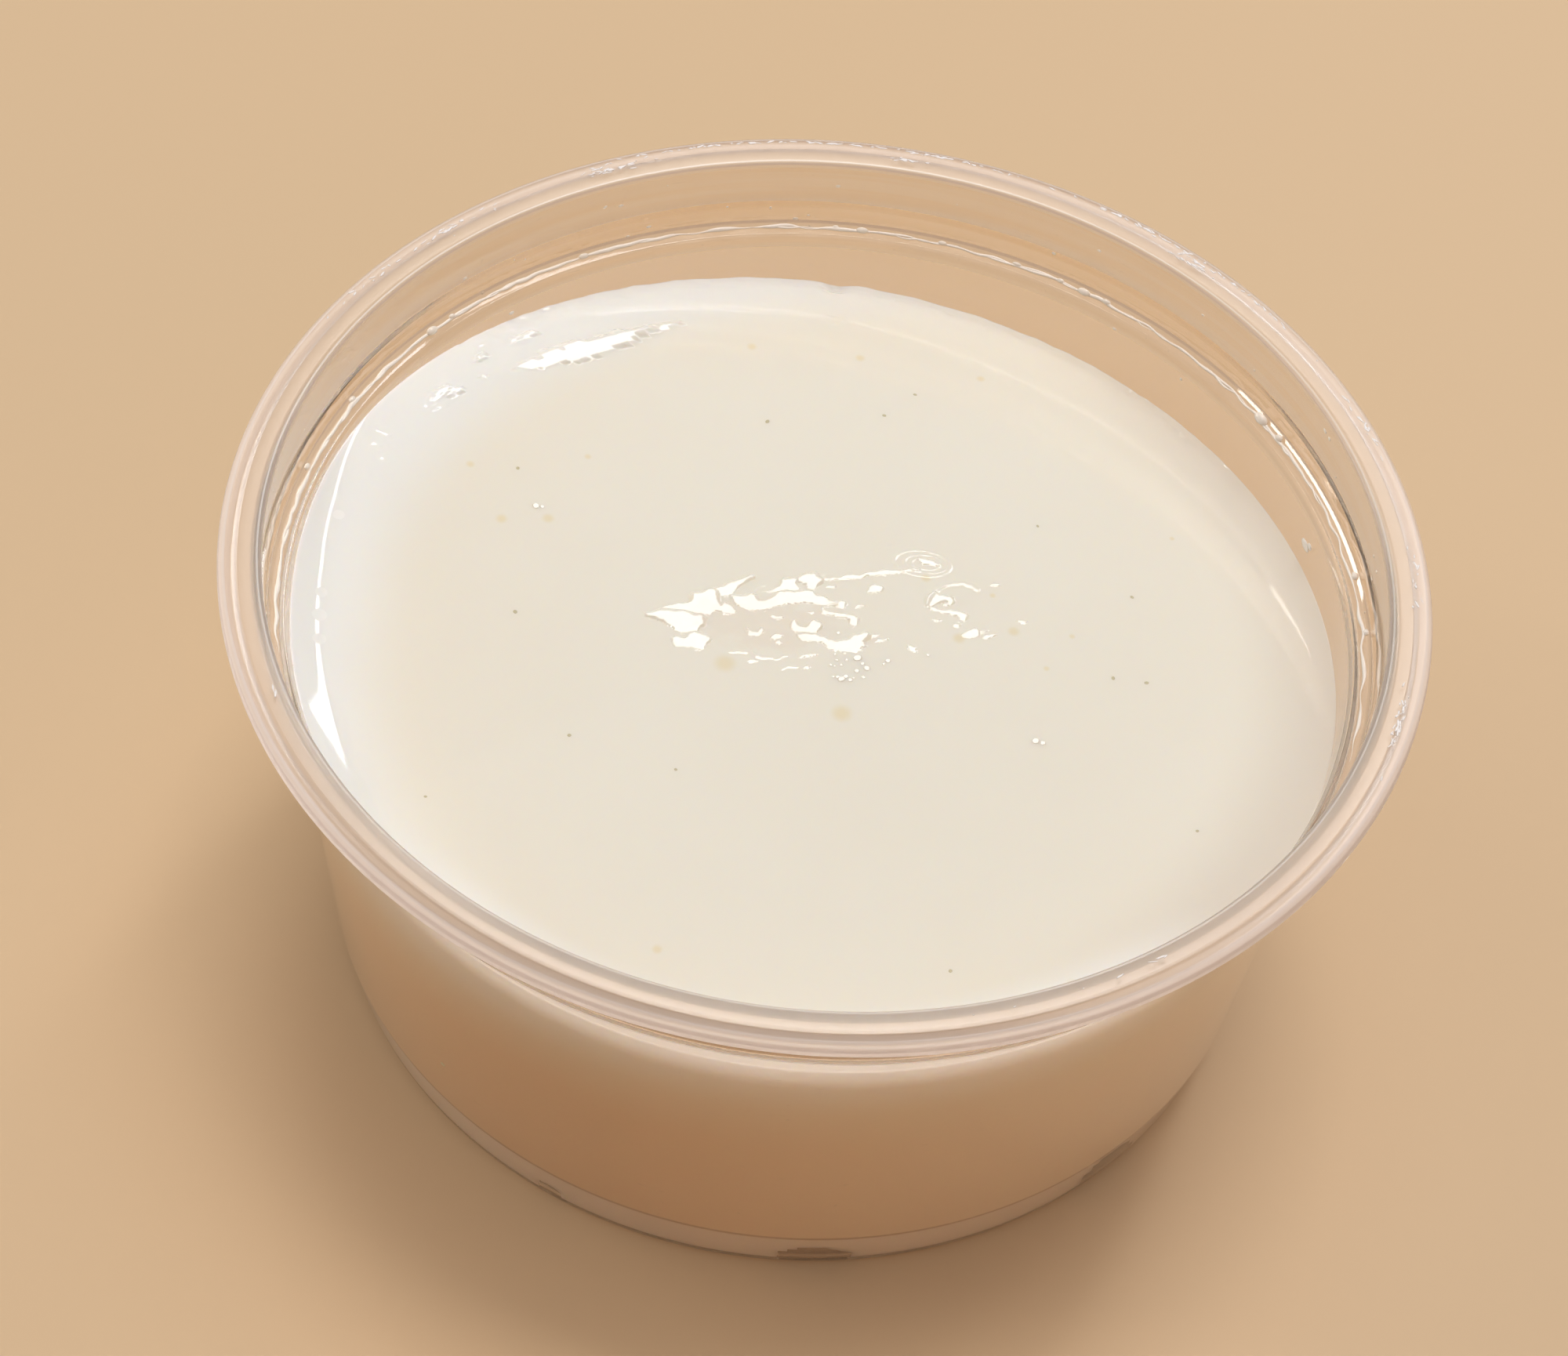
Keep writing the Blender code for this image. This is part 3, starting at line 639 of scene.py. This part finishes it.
def base_surface(x, y):
    """The broad shape of the filling's surface, in mm."""
    radius = np.hypot(x, y)
    azimuth = np.degrees(np.arctan2(y, x))
    contact = contact_height(azimuth)
    wall = wall_radius(contact)
    share = np.clip(radius / wall, 0.0, 1.0)
    gap = np.maximum(wall - radius, 0.0)
    turn = azimuth % 360.0
    steep = SHOULDER_RISE * np.interp(turn, [145.0, 158.0, 214.0, 240.0], [0.0, 1.0, 1.0, 0.0])
    reach = np.interp(turn, *zip(*SHOULDER))
    shoulder = SHOULDER_BEND * steep * np.logaddexp(0.0, (reach - gap) / SHOULDER_BEND)
    full = SHOULDER_BEND * steep * np.logaddexp(0.0, reach / SHOULDER_BEND)
    height = MIDDLE + (contact - full - 0.06 - MIDDLE) * share ** 2.6
    height = height + shoulder + 0.06 * np.exp(-gap / 0.8)
    height = height + 0.35 * bell(x, y, -2.0, 0.8, 13.0, 11.0)
    height = height - 0.10 * np.exp(-(((radius - 21.5) / 6.0) ** 2)) * (1.0 - share ** 8)
    return height + 0.012 * waves(x, y, SEED + 3, 20, 6.0, 18.0)


def settle(points):
    """Points seen at the level of the middle, moved along the line of sight onto the surface."""
    xs = np.array([point[0] for point in points])
    ys = np.array([point[1] for point in points])
    return xs, ys - SIGHT * (base_surface(xs, ys) - LEVEL)


def raise_patch(height, x, y, ragged, foot, outline):
    """Lifts one lean patch of the surface: up from its foot line, and down again past its outline."""
    foot_x, foot_y = settle(foot)
    edge_x, edge_y = settle(outline)
    # Patches further back lean a little more.
    lean = LEAN + 0.0018 * max(float(edge_y.mean()), -4.0)
    rise = lean / (1.0 + SIGHT * lean) * (edge_y - np.interp(edge_x, foot_x, foot_y))
    edge_y = edge_y - SIGHT * np.maximum(rise, 0.0)
    top = max(float(rise.max()), 0.03)
    reach = 2.0 * max(top, 0.05) + 0.3
    close = (x > edge_x.min() - reach) & (x < edge_x.max() + reach)
    close &= (y > edge_y.min() - reach) & (y < edge_y.max() + reach)
    px, py = x[close], y[close]
    if not px.size:
        return
    line = np.mean([np.interp(px + step, foot_x, foot_y) for step in (-0.4, -0.2, 0.0, 0.2, 0.4)], 0)
    gap = outside_gap(ragged[0][close], ragged[1][close], list(zip(edge_x.tolist(), edge_y.tolist())))
    climb = base_surface(px, line) - base_surface(px, py)
    flat = np.clip(lean * (py - line) + climb, 0.012, top)
    height[close] = np.maximum(height[close], flat - 0.9 * np.maximum(gap - 0.05, 0.0))


RIPPLES = [
    # (x, y, radius, width, rise, flattening) in mm: a burst bubble, and a small one at the back
    (6.0, 6.35, 1.80, 0.12, 0.032, 0.62), (6.2, 6.35, 1.35, 0.10, 0.026, 0.58),
    (6.2, 6.35, 0.90, 0.10, 0.028, 0.55), (-1.4, 28.6, 0.42, 0.12, 0.045, 0.8),
]


def relief(x, y):
    """Fine relief of the surface in mm: the stirred peak in the middle, its curls, and rings."""
    ragged = [place + 0.05 * waves(x, y, SEED + turn, 16, 0.5, 1.6) for turn, place in enumerate((x, y))]
    stirred = bell(x, y, -2.6, 0.4, 6.5, 3.4, 12.0)
    height = 0.016 * stirred * waves(x, y, SEED + 2, 24, 0.8, 2.6)
    for foot, outline in PATCHES:
        raise_patch(height, x, y, ragged, foot, outline)
    for line, width, rise in STROKES:
        line_x, line_y = settle(line)
        gap = line_gap(*ragged, list(zip(line_x.tolist(), line_y.tolist())))
        height += rise * np.exp(-((gap / width) ** 2))
    for ring in RIPPLES:
        height += ripple(x, y, *ring)
    height -= 0.06 * bell(x, y, 8.3, 2.9, 1.3, 1.1)
    # A nick and a ragged stretch in the back edge.
    edge = np.exp(-np.maximum(31.9 - np.hypot(x, y), 0.0) / 0.35) * (y > 20.0)
    height += 0.045 * edge * waves(x, y, SEED + 6, 12, 0.7, 2.4)
    height -= 0.45 * bell(x, y, -1.6, 32.2, 0.85, 0.55)
    return height


def surface(x, y):
    return base_surface(x, y) + relief(x, y)


# Air pockets in the bottom corner: centre azimuth, half width in degrees, top in mm, depth in mm.
POCKETS = [(-82.2, 4.6, 2.3, 1.5), (-43.0, 4.4, 2.9, 1.3), (-115.3, 1.3, 1.7, 0.9)]


def pocket_depth(azimuth, z):
    depth = np.zeros_like(azimuth)
    for center, half, top, deep in POCKETS:
        turn = ((azimuth - center + 180.0) % 360.0 - 180.0) / half
        roof = top * np.sqrt(np.clip(1.0 - turn ** 2, 0.0, 1.0))
        depth = np.maximum(depth, deep * np.clip((roof - z) / 0.3, 0.0, 1.0))
    return depth


# The filling reaches this far into the wall, in mm.
SINK = 0.06
# The fine square grid in the middle of the surface: first and last place in mm, and cells.
GRID_X = (-11.4, 13.1, 272)
GRID_Y = (-4.9, 7.8, 142)
# Relative widths of the rings between the grid and the wall.
RING_STEPS = [0.12, 0.16, 0.20, 0.26, 0.34, 0.42] + [0.55] * 13 + [0.40, 0.30] + [0.24] * 38 + [0.13] * 24


def square_grid():
    """The middle of the surface: its points, its faces and the numbers of the points on its border."""
    cols, rows = GRID_X[2], GRID_Y[2]
    mesh_x, mesh_y = np.meshgrid(np.linspace(*GRID_X[:2], cols + 1), np.linspace(*GRID_Y[:2], rows + 1))
    faces = []
    for row in range(rows):
        for col in range(cols):
            low = row * (cols + 1) + col
            faces.append((low, low + 1, low + cols + 2, low + cols + 1))
    half = rows // 2
    border = [(row, cols) for row in range(half, rows)] + [(rows, col) for col in range(cols, 0, -1)]
    border += [(row, 0) for row in range(rows, 0, -1)] + [(0, col) for col in range(cols)]
    border += [(row, cols) for row in range(half)]
    points = np.stack([mesh_x.ravel(), mesh_y.ravel()], 1)
    return points, faces, [row * (cols + 1) + col for row, col in border]


def edge_angles(count):
    """Azimuths round the edge, closer together at the left and the back left, where relief is fine."""
    fine = np.linspace(0.0, 360.0, 3601)
    dense = 0.78 + 0.92 / (1.0 + np.exp((np.abs(fine - 168.5) - 45.0) / 3.0))
    share = np.concatenate([[0.0], np.cumsum(0.5 * (dense[1:] + dense[:-1]))])
    return np.interp(np.arange(count) / count, share / share[-1], fine)


def edge_points(count):
    azimuth = edge_angles(count)
    angle = np.radians(azimuth)
    radius = wall_radius(contact_height(azimuth)) + SINK
    return np.stack([radius * np.cos(angle), radius * np.sin(angle)], 1)


def surface_plan():
    """Points and faces of the surface in plan: the grid, then rings from its border to the wall."""
    grid, faces, inner = square_grid()
    border = grid[inner]
    double = len(inner)
    turns = double // 2
    reach = np.cumsum(RING_STEPS) / sum(RING_STEPS)
    # The first ring has as many points as the border, and the next has half as many.
    points = [grid, border + (edge_points(double) - border) * reach[0]]
    start = len(grid)
    for index in range(double):
        step = (index + 1) % double
        faces.append((inner[index], start + index, start + step, inner[step]))
    outer = start + double
    for index in range(turns):
        step = (index + 1) % turns
        first, middle, last = start + 2 * index, start + 2 * index + 1, start + (2 * index + 2) % double
        faces.append((first, outer + index, middle))
        faces.append((middle, outer + index, outer + step))
        faces.append((middle, outer + step, last))
    edge = edge_points(turns)
    for ring, share in enumerate(reach[1:]):
        points.append(border[::2] + (edge - border[::2]) * share)
        if ring:
            faces += band(outer + (ring - 1) * turns, outer + ring * turns, turns)
    return np.concatenate(points), faces, turns


def side_rings(azimuth):
    """Radius and height of the rings of the side and the floor, from the surface down and in."""
    contact = contact_height(azimuth)
    rings = []
    for step in range(1, 11):
        z = contact + (4.4 - contact) * step / 10.0
        rings.append((wall_radius(z) + SINK, z))
    for radius, z in ((30.46, 4.15), (30.37, 4.0), (30.27, 3.85)):
        rings.append((np.full_like(azimuth, radius + SINK), np.full_like(azimuth, z)))
    corner = rounded([(0.0, 1.1 - SINK, 0.0), (26.3, 1.1 - SINK, 0.5), (27.15, 0.5 - SINK, 0.5),
                      (29.68 + SINK, 0.5 - SINK, 0.75), (30.25 + SINK, 3.82, 0.25)])[1:-1]
    end = corner[-1]
    for step in range(8):
        here = np.full_like(azimuth, 3.6 + (end[1] - 3.6) * step / 8.0)
        radius = 30.21 + SINK + (end[0] - 30.21 - SINK) * step / 8.0
        rings.append((radius - pocket_depth(azimuth, here), here))
    for radius, z in reversed(corner):
        here = np.full_like(azimuth, z)
        pocket = pocket_depth(azimuth, here)
        rings.append((radius - pocket, here + np.where(radius > 28.0, 0.5 * pocket, 0.0)))
    return rings


def surface_normals(x, y):
    """The surface's own normals, from its height on both sides of each point."""
    small = 0.02
    lean_x = (surface(x + small, y) - surface(x - small, y)) / (2.0 * small)
    lean_y = (surface(x, y + small) - surface(x, y - small)) / (2.0 * small)
    normals = np.stack([-lean_x, -lean_y, np.ones_like(x)], 1)
    return normals / np.linalg.norm(normals, axis=1)[:, None]


def make_cream():
    """One closed body: floor and side reach just into the cup's wall, the top is the surface."""
    plan, faces, turns = surface_plan()
    x, y = plan[:, 0], plan[:, 1]
    verts = [tuple(vert) for vert in np.stack([x, y, surface(x, y)], 1) * MM]
    azimuth = edge_angles(turns)
    angle = np.radians(azimuth)
    for radius, z in side_rings(azimuth):
        lower = len(verts)
        ring = np.stack([radius * np.cos(angle), radius * np.sin(angle), z], 1)
        verts += [tuple(vert) for vert in ring * MM]
        faces += band(lower - turns, lower, turns)
    pole = len(verts)
    verts.append((0.0, 0.0, (1.1 - SINK) * MM))
    for index in range(turns):
        faces.append((pole - turns + index, pole, pole - turns + (index + 1) % turns))
    cream = link("cream_fill", verts, faces, [cream_material()])
    smooth = [tuple(vert.normal) for vert in cream.data.vertices]
    inside = len(plan) - turns
    smooth[:inside] = [tuple(normal) for normal in surface_normals(x, y)[:inside]]
    cream.data.normals_split_custom_set_from_vertices(smooth)
    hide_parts("sour_cream")
    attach(cream, "root")


# Small things on the cup and on the surface, each gathered into one mesh.
def blob(verts, faces, center, axes, sizes, segments=12, rings=6):
    """Adds an ellipsoid with the given centre, three unit axes and three half sizes, in mm."""
    start = len(verts)
    center = Vector(center)
    verts.append(tuple((center + axes[2] * sizes[2]) * MM))
    for ring in range(1, rings):
        tilt = math.pi * ring / rings
        for segment in range(segments):
            turn = 2.0 * math.pi * segment / segments
            shares = (math.sin(tilt) * math.cos(turn), math.sin(tilt) * math.sin(turn), math.cos(tilt))
            offset = sum((axis * (size * share) for axis, size, share in zip(axes, sizes, shares)), Vector())
            verts.append(tuple((center + offset) * MM))
    verts.append(tuple((center - axes[2] * sizes[2]) * MM))
    faces += closed_rings(start, segments, rings - 1)


def ring_axes(azimuth, lean=0.0):
    """Along the rim, outwards and up at an azimuth; lean tips the outward axis upwards."""
    outward = Vector(polar(azimuth, 1.0, 0.0))
    along = Vector((-outward.y, outward.x, 0.0))
    tip = math.radians(lean)
    across = outward * math.cos(tip) + Vector((0.0, 0.0, 1.0)) * math.sin(tip)
    return along, across, along.cross(across) * -1.0


def polar(azimuth, radius, z):
    angle = math.radians(azimuth)
    return (radius * math.cos(angle), radius * math.sin(angle), z)


def gathered(name, verts, faces, mat, node):
    obj = link(name, verts, faces, [mat])
    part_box(node)
    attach(obj, "root")


LEDGE_DROPS = [
    # (azimuth, radius, height, half length, half width, half thickness)
    (36.4, 33.66, 28.86, 0.62, 0.34, 0.30), (33.0, 33.74, 28.90, 0.30, 0.22, 0.20),
    (63.4, 33.62, 28.84, 0.50, 0.24, 0.22), (60.5, 33.70, 28.84, 0.34, 0.18, 0.18),
    (66.5, 33.70, 28.82, 0.26, 0.16, 0.16), (90.4, 33.62, 28.84, 0.42, 0.22, 0.20),
    (93.5, 33.70, 28.82, 0.24, 0.16, 0.14), (81.0, 33.70, 28.82, 0.30, 0.16, 0.14),
    (72.0, 33.70, 28.82, 0.34, 0.14, 0.14), (123.5, 33.64, 28.84, 0.36, 0.20, 0.18),
    (144.7, 33.64, 28.86, 0.46, 0.28, 0.25), (141.5, 33.72, 28.86, 0.24, 0.16, 0.16),
    (158.5, 33.90, 28.86, 0.32, 0.20, 0.18), (169.5, 33.92, 28.86, 0.30, 0.18, 0.16),
    (12.0, 33.90, 28.84, 0.34, 0.20, 0.18), (4.0, 33.92, 28.86, 0.26, 0.18, 0.16),
]


# Radius and height of the ledge's outer edge, in mm.
LEDGE_EDGE = 33.66
LEDGE_HEIGHT = 28.74
# Threads of the dried film: first and last azimuth, points, thickness in mm, wander.
STRANDS = [(-14.0, 196.0, 1300, 0.085, 0.75), (22.0, 58.0, 300, 0.055, 1.5), (60.0, 104.0, 340, 0.055, 1.3),
           (108.0, 192.0, 500, 0.10, 0.5)]
# A smear and flecks on the inner wall: azimuth, height, half length, half width.
WALL_FLECKS = [(21.1, 26.1, 0.6, 0.34), (20.2, 26.5, 0.3, 0.22), (134.0, 27.2, 0.22, 0.13),
               (149.0, 25.9, 0.20, 0.14)]


def add_strand(verts, faces, draw, first, last, count, thick, stray):
    """Adds one wandering thread of dried filling that lies on the ledge."""
    sides = 8
    tones = [(draw.uniform(0.15, 1.1), draw.uniform(0.0, 6.28), draw.uniform(0.4, 1.0)) for _ in range(14)]
    slow = [(draw.uniform(0.2, 1.0), draw.uniform(0.0, 6.28)) for _ in range(7)]
    start = len(verts)
    for index in range(count):
        azimuth = first + (last - first) * index / (count - 1)
        wander = sum(weight * math.sin(rate * azimuth * 1.7 + phase) for rate, phase, weight in tones) / 5.0
        swell = sum(math.sin(rate * azimuth + phase) for rate, phase in slow) / 4.0
        end = min(1.0, index / 30.0, (count - 1 - index) / 30.0)
        size = thick * max(0.35, 1.0 + 0.7 * swell) * (0.15 + 0.85 * end)
        radius = LEDGE_EDGE + 0.16 * stray * wander
        center = Vector(polar(azimuth, radius, LEDGE_HEIGHT + 0.04 * swell))
        _, across, up = ring_axes(azimuth)
        for side in range(sides):
            turn = 2.0 * math.pi * side / sides
            offset = across * (size * math.cos(turn)) + up * (size * math.sin(turn))
            verts.append(tuple((center + offset) * MM))
    for low in range(start, start + (count - 1) * sides, sides):
        faces += [face[::-1] for face in band(low, low + sides, sides)]
    faces.append(tuple(range(start + sides - 1, start - 1, -1)))
    faces.append(tuple(range(start + (count - 1) * sides, start + count * sides)))


def make_ledge_film():
    """The ragged bead of dried filling along the outer corner of the ledge, and drops near it."""
    draw = random.Random(SEED)
    verts, faces = [], []
    for strand in STRANDS:
        add_strand(verts, faces, draw, *strand)
    film = plain("dried_film", (0.95, 0.905, 0.84), roughness=0.22, ior=1.45)
    gathered("ledge_film", verts, faces, film, "cup")

    verts, faces = [], []
    for azimuth, radius, z, *sizes in LEDGE_DROPS:
        blob(verts, faces, polar(azimuth, radius, z), ring_axes(azimuth, 25.0), sizes)
    # Fine spatter on the wall under the ledge and on the band above it.
    for _ in range(46):
        azimuth = draw.uniform(-20.0, 200.0)
        size = draw.uniform(0.05, 0.14)
        z = draw.uniform(27.2, 33.0)
        radius = wall_radius(z) if z < 28.0 else 34.19 + (z - 30.35) * 0.035
        sizes = (size * draw.uniform(0.8, 1.8), size, 0.04)
        blob(verts, faces, polar(azimuth, radius, z), ring_axes(azimuth, 87.0), sizes, 8, 4)
    for azimuth, z, length, width in WALL_FLECKS:
        place = polar(azimuth, wall_radius(z), z)
        blob(verts, faces, place, ring_axes(azimuth, 87.0), (length, width, 0.08))
    wet = plain("whey_drops", (0.95, 0.90, 0.82), roughness=0.06, transmission=0.12, ior=1.42)
    gathered("ledge_drops", verts, faces, wet, "cup")


# Heights of the flakes on the lip and on the flat of the rim, in mm.
ON_LIP = 33.953
ON_FLAT = 33.93
RIM_MARKS = [
    # (azimuth, radius, spread in degrees, spread in mm, count)
    (81.5, 36.35, 8.0, 0.10, 40), (94.0, 36.35, 6.0, 0.08, 22), (60.0, 36.35, 12.0, 0.10, 40),
    (53.0, 35.90, 4.0, 0.5, 26), (44.0, 36.35, 9.0, 0.10, 24), (26.0, 36.3, 7.0, 0.25, 16),
    (-14.5, 35.9, 4.5, 0.35, 34), (4.0, 36.1, 6.0, 0.4, 12), (119.5, 35.8, 4.0, 0.35, 30),
    (108.0, 36.35, 9.0, 0.10, 26), (137.0, 36.0, 5.0, 0.4, 22), (150.0, 36.2, 8.0, 0.3, 16),
    (86.5, 35.5, 3.0, 0.2, 14), (-152.0, 35.1, 1.5, 0.1, 5), (-60.0, 35.2, 14.0, 0.1, 9),
]


def make_rim_marks():
    """Scuffs and burrs on the flat of the rim: tiny raised flakes along it."""
    draw = random.Random(SEED + 5)
    verts, faces = [], []
    for middle, radius, turn, spread, count in RIM_MARKS:
        for _ in range(count):
            azimuth = draw.gauss(middle, turn / 2.0)
            place = min(36.45, max(35.15, draw.gauss(radius, spread / 2.0)))
            top = ON_LIP if place > 35.9 else ON_FLAT
            axes = ring_axes(azimuth + draw.uniform(-25.0, 25.0))
            sizes = (draw.uniform(0.06, 0.34), draw.uniform(0.035, 0.085), 0.045)
            blob(verts, faces, polar(azimuth, place, top), axes, sizes, 8, 4)
    scuff = plain("rim_scuffs", (0.97, 0.94, 0.93), roughness=0.25, ior=1.5)
    gathered("rim_marks", verts, faces, scuff, "cup")


# Specks and tiny bubbles in the surface: (x, y, radius) in mm.
DARK_SPECKS = [
    (-20.5, 10.2, 0.13), (-19.0, -1.6, 0.13), (-14.4, -10.7, 0.12), (-7.7, -12.5, 0.09), (19.5, 6.1, 0.12),
    (20.6, -1.1, 0.12), (18.5, -1.1, 0.12), (4.5, 22.2, 0.11), (2.6, 19.7, 0.13), (-5.0, 17.6, 0.13),
    (9.8, -24.9, 0.11), (-22.3, -16.5, 0.09), (24.0, -12.5, 0.10), (13.2, 11.2, 0.09),
]
BUBBLES = [
    (2.5, -2.35, 0.22), (3.15, -3.1, 0.18), (2.85, -2.75, 0.11), (2.55, -3.4, 0.15), (1.25, -2.7, 0.09),
    (1.55, -3.05, 0.10), (0.9, -3.15, 0.09), (1.15, -3.2, 0.07), (1.85, -2.6, 0.10), (1.1, -2.25, 0.09),
    (1.9, -3.95, 0.14), (1.65, -4.2, 0.18), (1.4, -4.05, 0.10), (2.2, -4.2, 0.13), (2.4, -4.0, 0.07),
    (3.0, -3.85, 0.10), (1.15, -4.1, 0.08), (4.4, -2.3, 0.15), (4.15, -2.6, 0.08), (1.15, -0.5, 0.10),
    (6.85, -1.45, 0.09), (13.9, -7.4, 0.20), (14.35, -7.5, 0.15), (-18.9, 7.3, 0.20), (-18.5, 7.3, 0.12),
]


def lens(verts, faces, x, y, size, stretch, turn, lean, dome, segments=16, rings=4):
    """Adds a thin cap that lies on the surface, in mm, with its back raised by its lean."""
    start = len(verts)
    level = float(surface(np.array([x]), np.array([y]))[0])
    verts.append((x * MM, y * MM, (level + lean * size + dome) * MM))
    for ring in range(1, rings + 2):
        # The last ring is the skirt, a little wider and below the surface.
        share = ring / rings if ring <= rings else 1.04
        for segment in range(segments):
            angle = 2.0 * math.pi * segment / segments
            along, across = size * stretch * share * math.cos(angle), size * share * math.sin(angle)
            dx = along * math.cos(turn) - across * math.sin(turn)
            dy = along * math.sin(turn) + across * math.cos(turn)
            z = level + lean * (dy + size) + dome * (1.0 - share * share) if ring <= rings else level - 0.06
            verts.append(((x + dx) * MM, (y + dy) * MM, z * MM))
    verts.append((x * MM, y * MM, (level - 0.08) * MM))
    faces += closed_rings(start, segments, rings + 1)


def make_surface_marks():
    draw = random.Random(SEED + 20)
    verts, faces = [], []
    for x, y, size in DARK_SPECKS:
        lens(verts, faces, x, y, size, draw.uniform(1.0, 1.6), draw.uniform(0.0, math.pi), 0.0, 0.02)
    place = polar(-129.8, wall_radius(9.0) + 0.5, 9.0)
    blob(verts, faces, place, ring_axes(-129.8, 90.0), (0.20, 0.14, 0.04))
    speck = plain("olive_specks", (0.58, 0.52, 0.34), roughness=0.3)
    gathered("dark_specks", verts, faces, speck, "sour_cream")
    verts, faces = [], []
    for x, y, size in BUBBLES:
        y = float(settle([(x, y)])[1][0])
        lens(verts, faces, x, y, size, draw.uniform(1.0, 1.3), draw.uniform(-0.5, 0.5), LEAN, 0.03 * size)
    skin = plain("bubble_skin", (0.90, 0.86, 0.76), roughness=0.03, ior=1.5)
    gathered("tiny_bubbles", verts, faces, skin, "sour_cream")


# Floor, light and background.
FLOOR_HALF = 3.0
FLOOR_COLOR = (0.72, 0.525, 0.325, 1.0)
SKY_COLOR = (1.0, 0.97, 0.975)
HORIZON_COLOR = (1.55, 1.17, 0.82)
SKY_STRENGTH = 0.370
LIGHTS = [
    # (name, direction, distance, width, height, power, colour, roll in degrees)
    ("key", (0.088, 0.298, 0.951), 0.8, 0.44, 0.25, 2.70, (1.0, 0.987, 0.965), 0.0),
    ("side", (0.325, 0.655, 0.680), 0.8, 0.09, 0.44, 0.95, (0.93, 0.96, 1.0), 0.0),
    ("glint", (-0.878, 0.237, 0.417), 0.874, 0.66, 0.05, 1.4, (1.0, 0.94, 0.84), 30.0),
    ("front", (0.60, -1.0, 0.30), 1.2, 1.8, 0.9, 2.32, (1.0, 0.52, 0.21), 0.0),
]


def make_floor():
    nodes = Nodes(bpy.data.materials.new("pale_floor"))
    nodes.shade({"Base Color": FLOOR_COLOR, "Roughness": 0.55, "Specular IOR Level": 0.3})
    corners = [(x * FLOOR_HALF, y * FLOOR_HALF, 0.0) for x, y in ((-1, -1), (1, -1), (1, 1), (-1, 1))]
    link("floor", corners, [(0, 1, 2, 3)], [nodes.owner], smooth=False)


def make_sky():
    """A soft even sky that turns warm near the horizon, as the floor is."""
    world = bpy.data.worlds.new("world")
    nodes = Nodes(world, "Background", "Generated")
    share = nodes.ramp(nodes.split()[2], 0.10, 0.32, smooth=False)
    nodes.shade({"Color": nodes.mix(share, HORIZON_COLOR, SKY_COLOR), "Strength": SKY_STRENGTH})
    world.cycles.sampling_method = "NONE"
    bpy.context.scene.world = world


def make_lights():
    middle = Vector((0.0, 0.0, 0.026))
    for name, direction, distance, width, height, power, color, roll in LIGHTS:
        data = bpy.data.lights.new(name, "AREA")
        data.shape = "RECTANGLE"
        data.size = width
        data.size_y = height
        data.energy = power
        data.color = color
        lamp = bpy.data.objects.new(name, data)
        aim = Vector(direction).normalized()
        lamp.location = middle + aim * distance
        turned = aim.to_track_quat("Z", "Y").to_matrix() @ Matrix.Rotation(math.radians(roll), 3, "Z")
        lamp.rotation_euler = turned.to_euler()
        bpy.context.collection.objects.link(lamp)


make_camera()
make_floor()
make_sky()
make_lights()
make_cup()
make_cream()
make_ledge_film()
make_rim_marks()
make_surface_marks()
bpy.context.scene.view_settings.view_transform = "Standard"
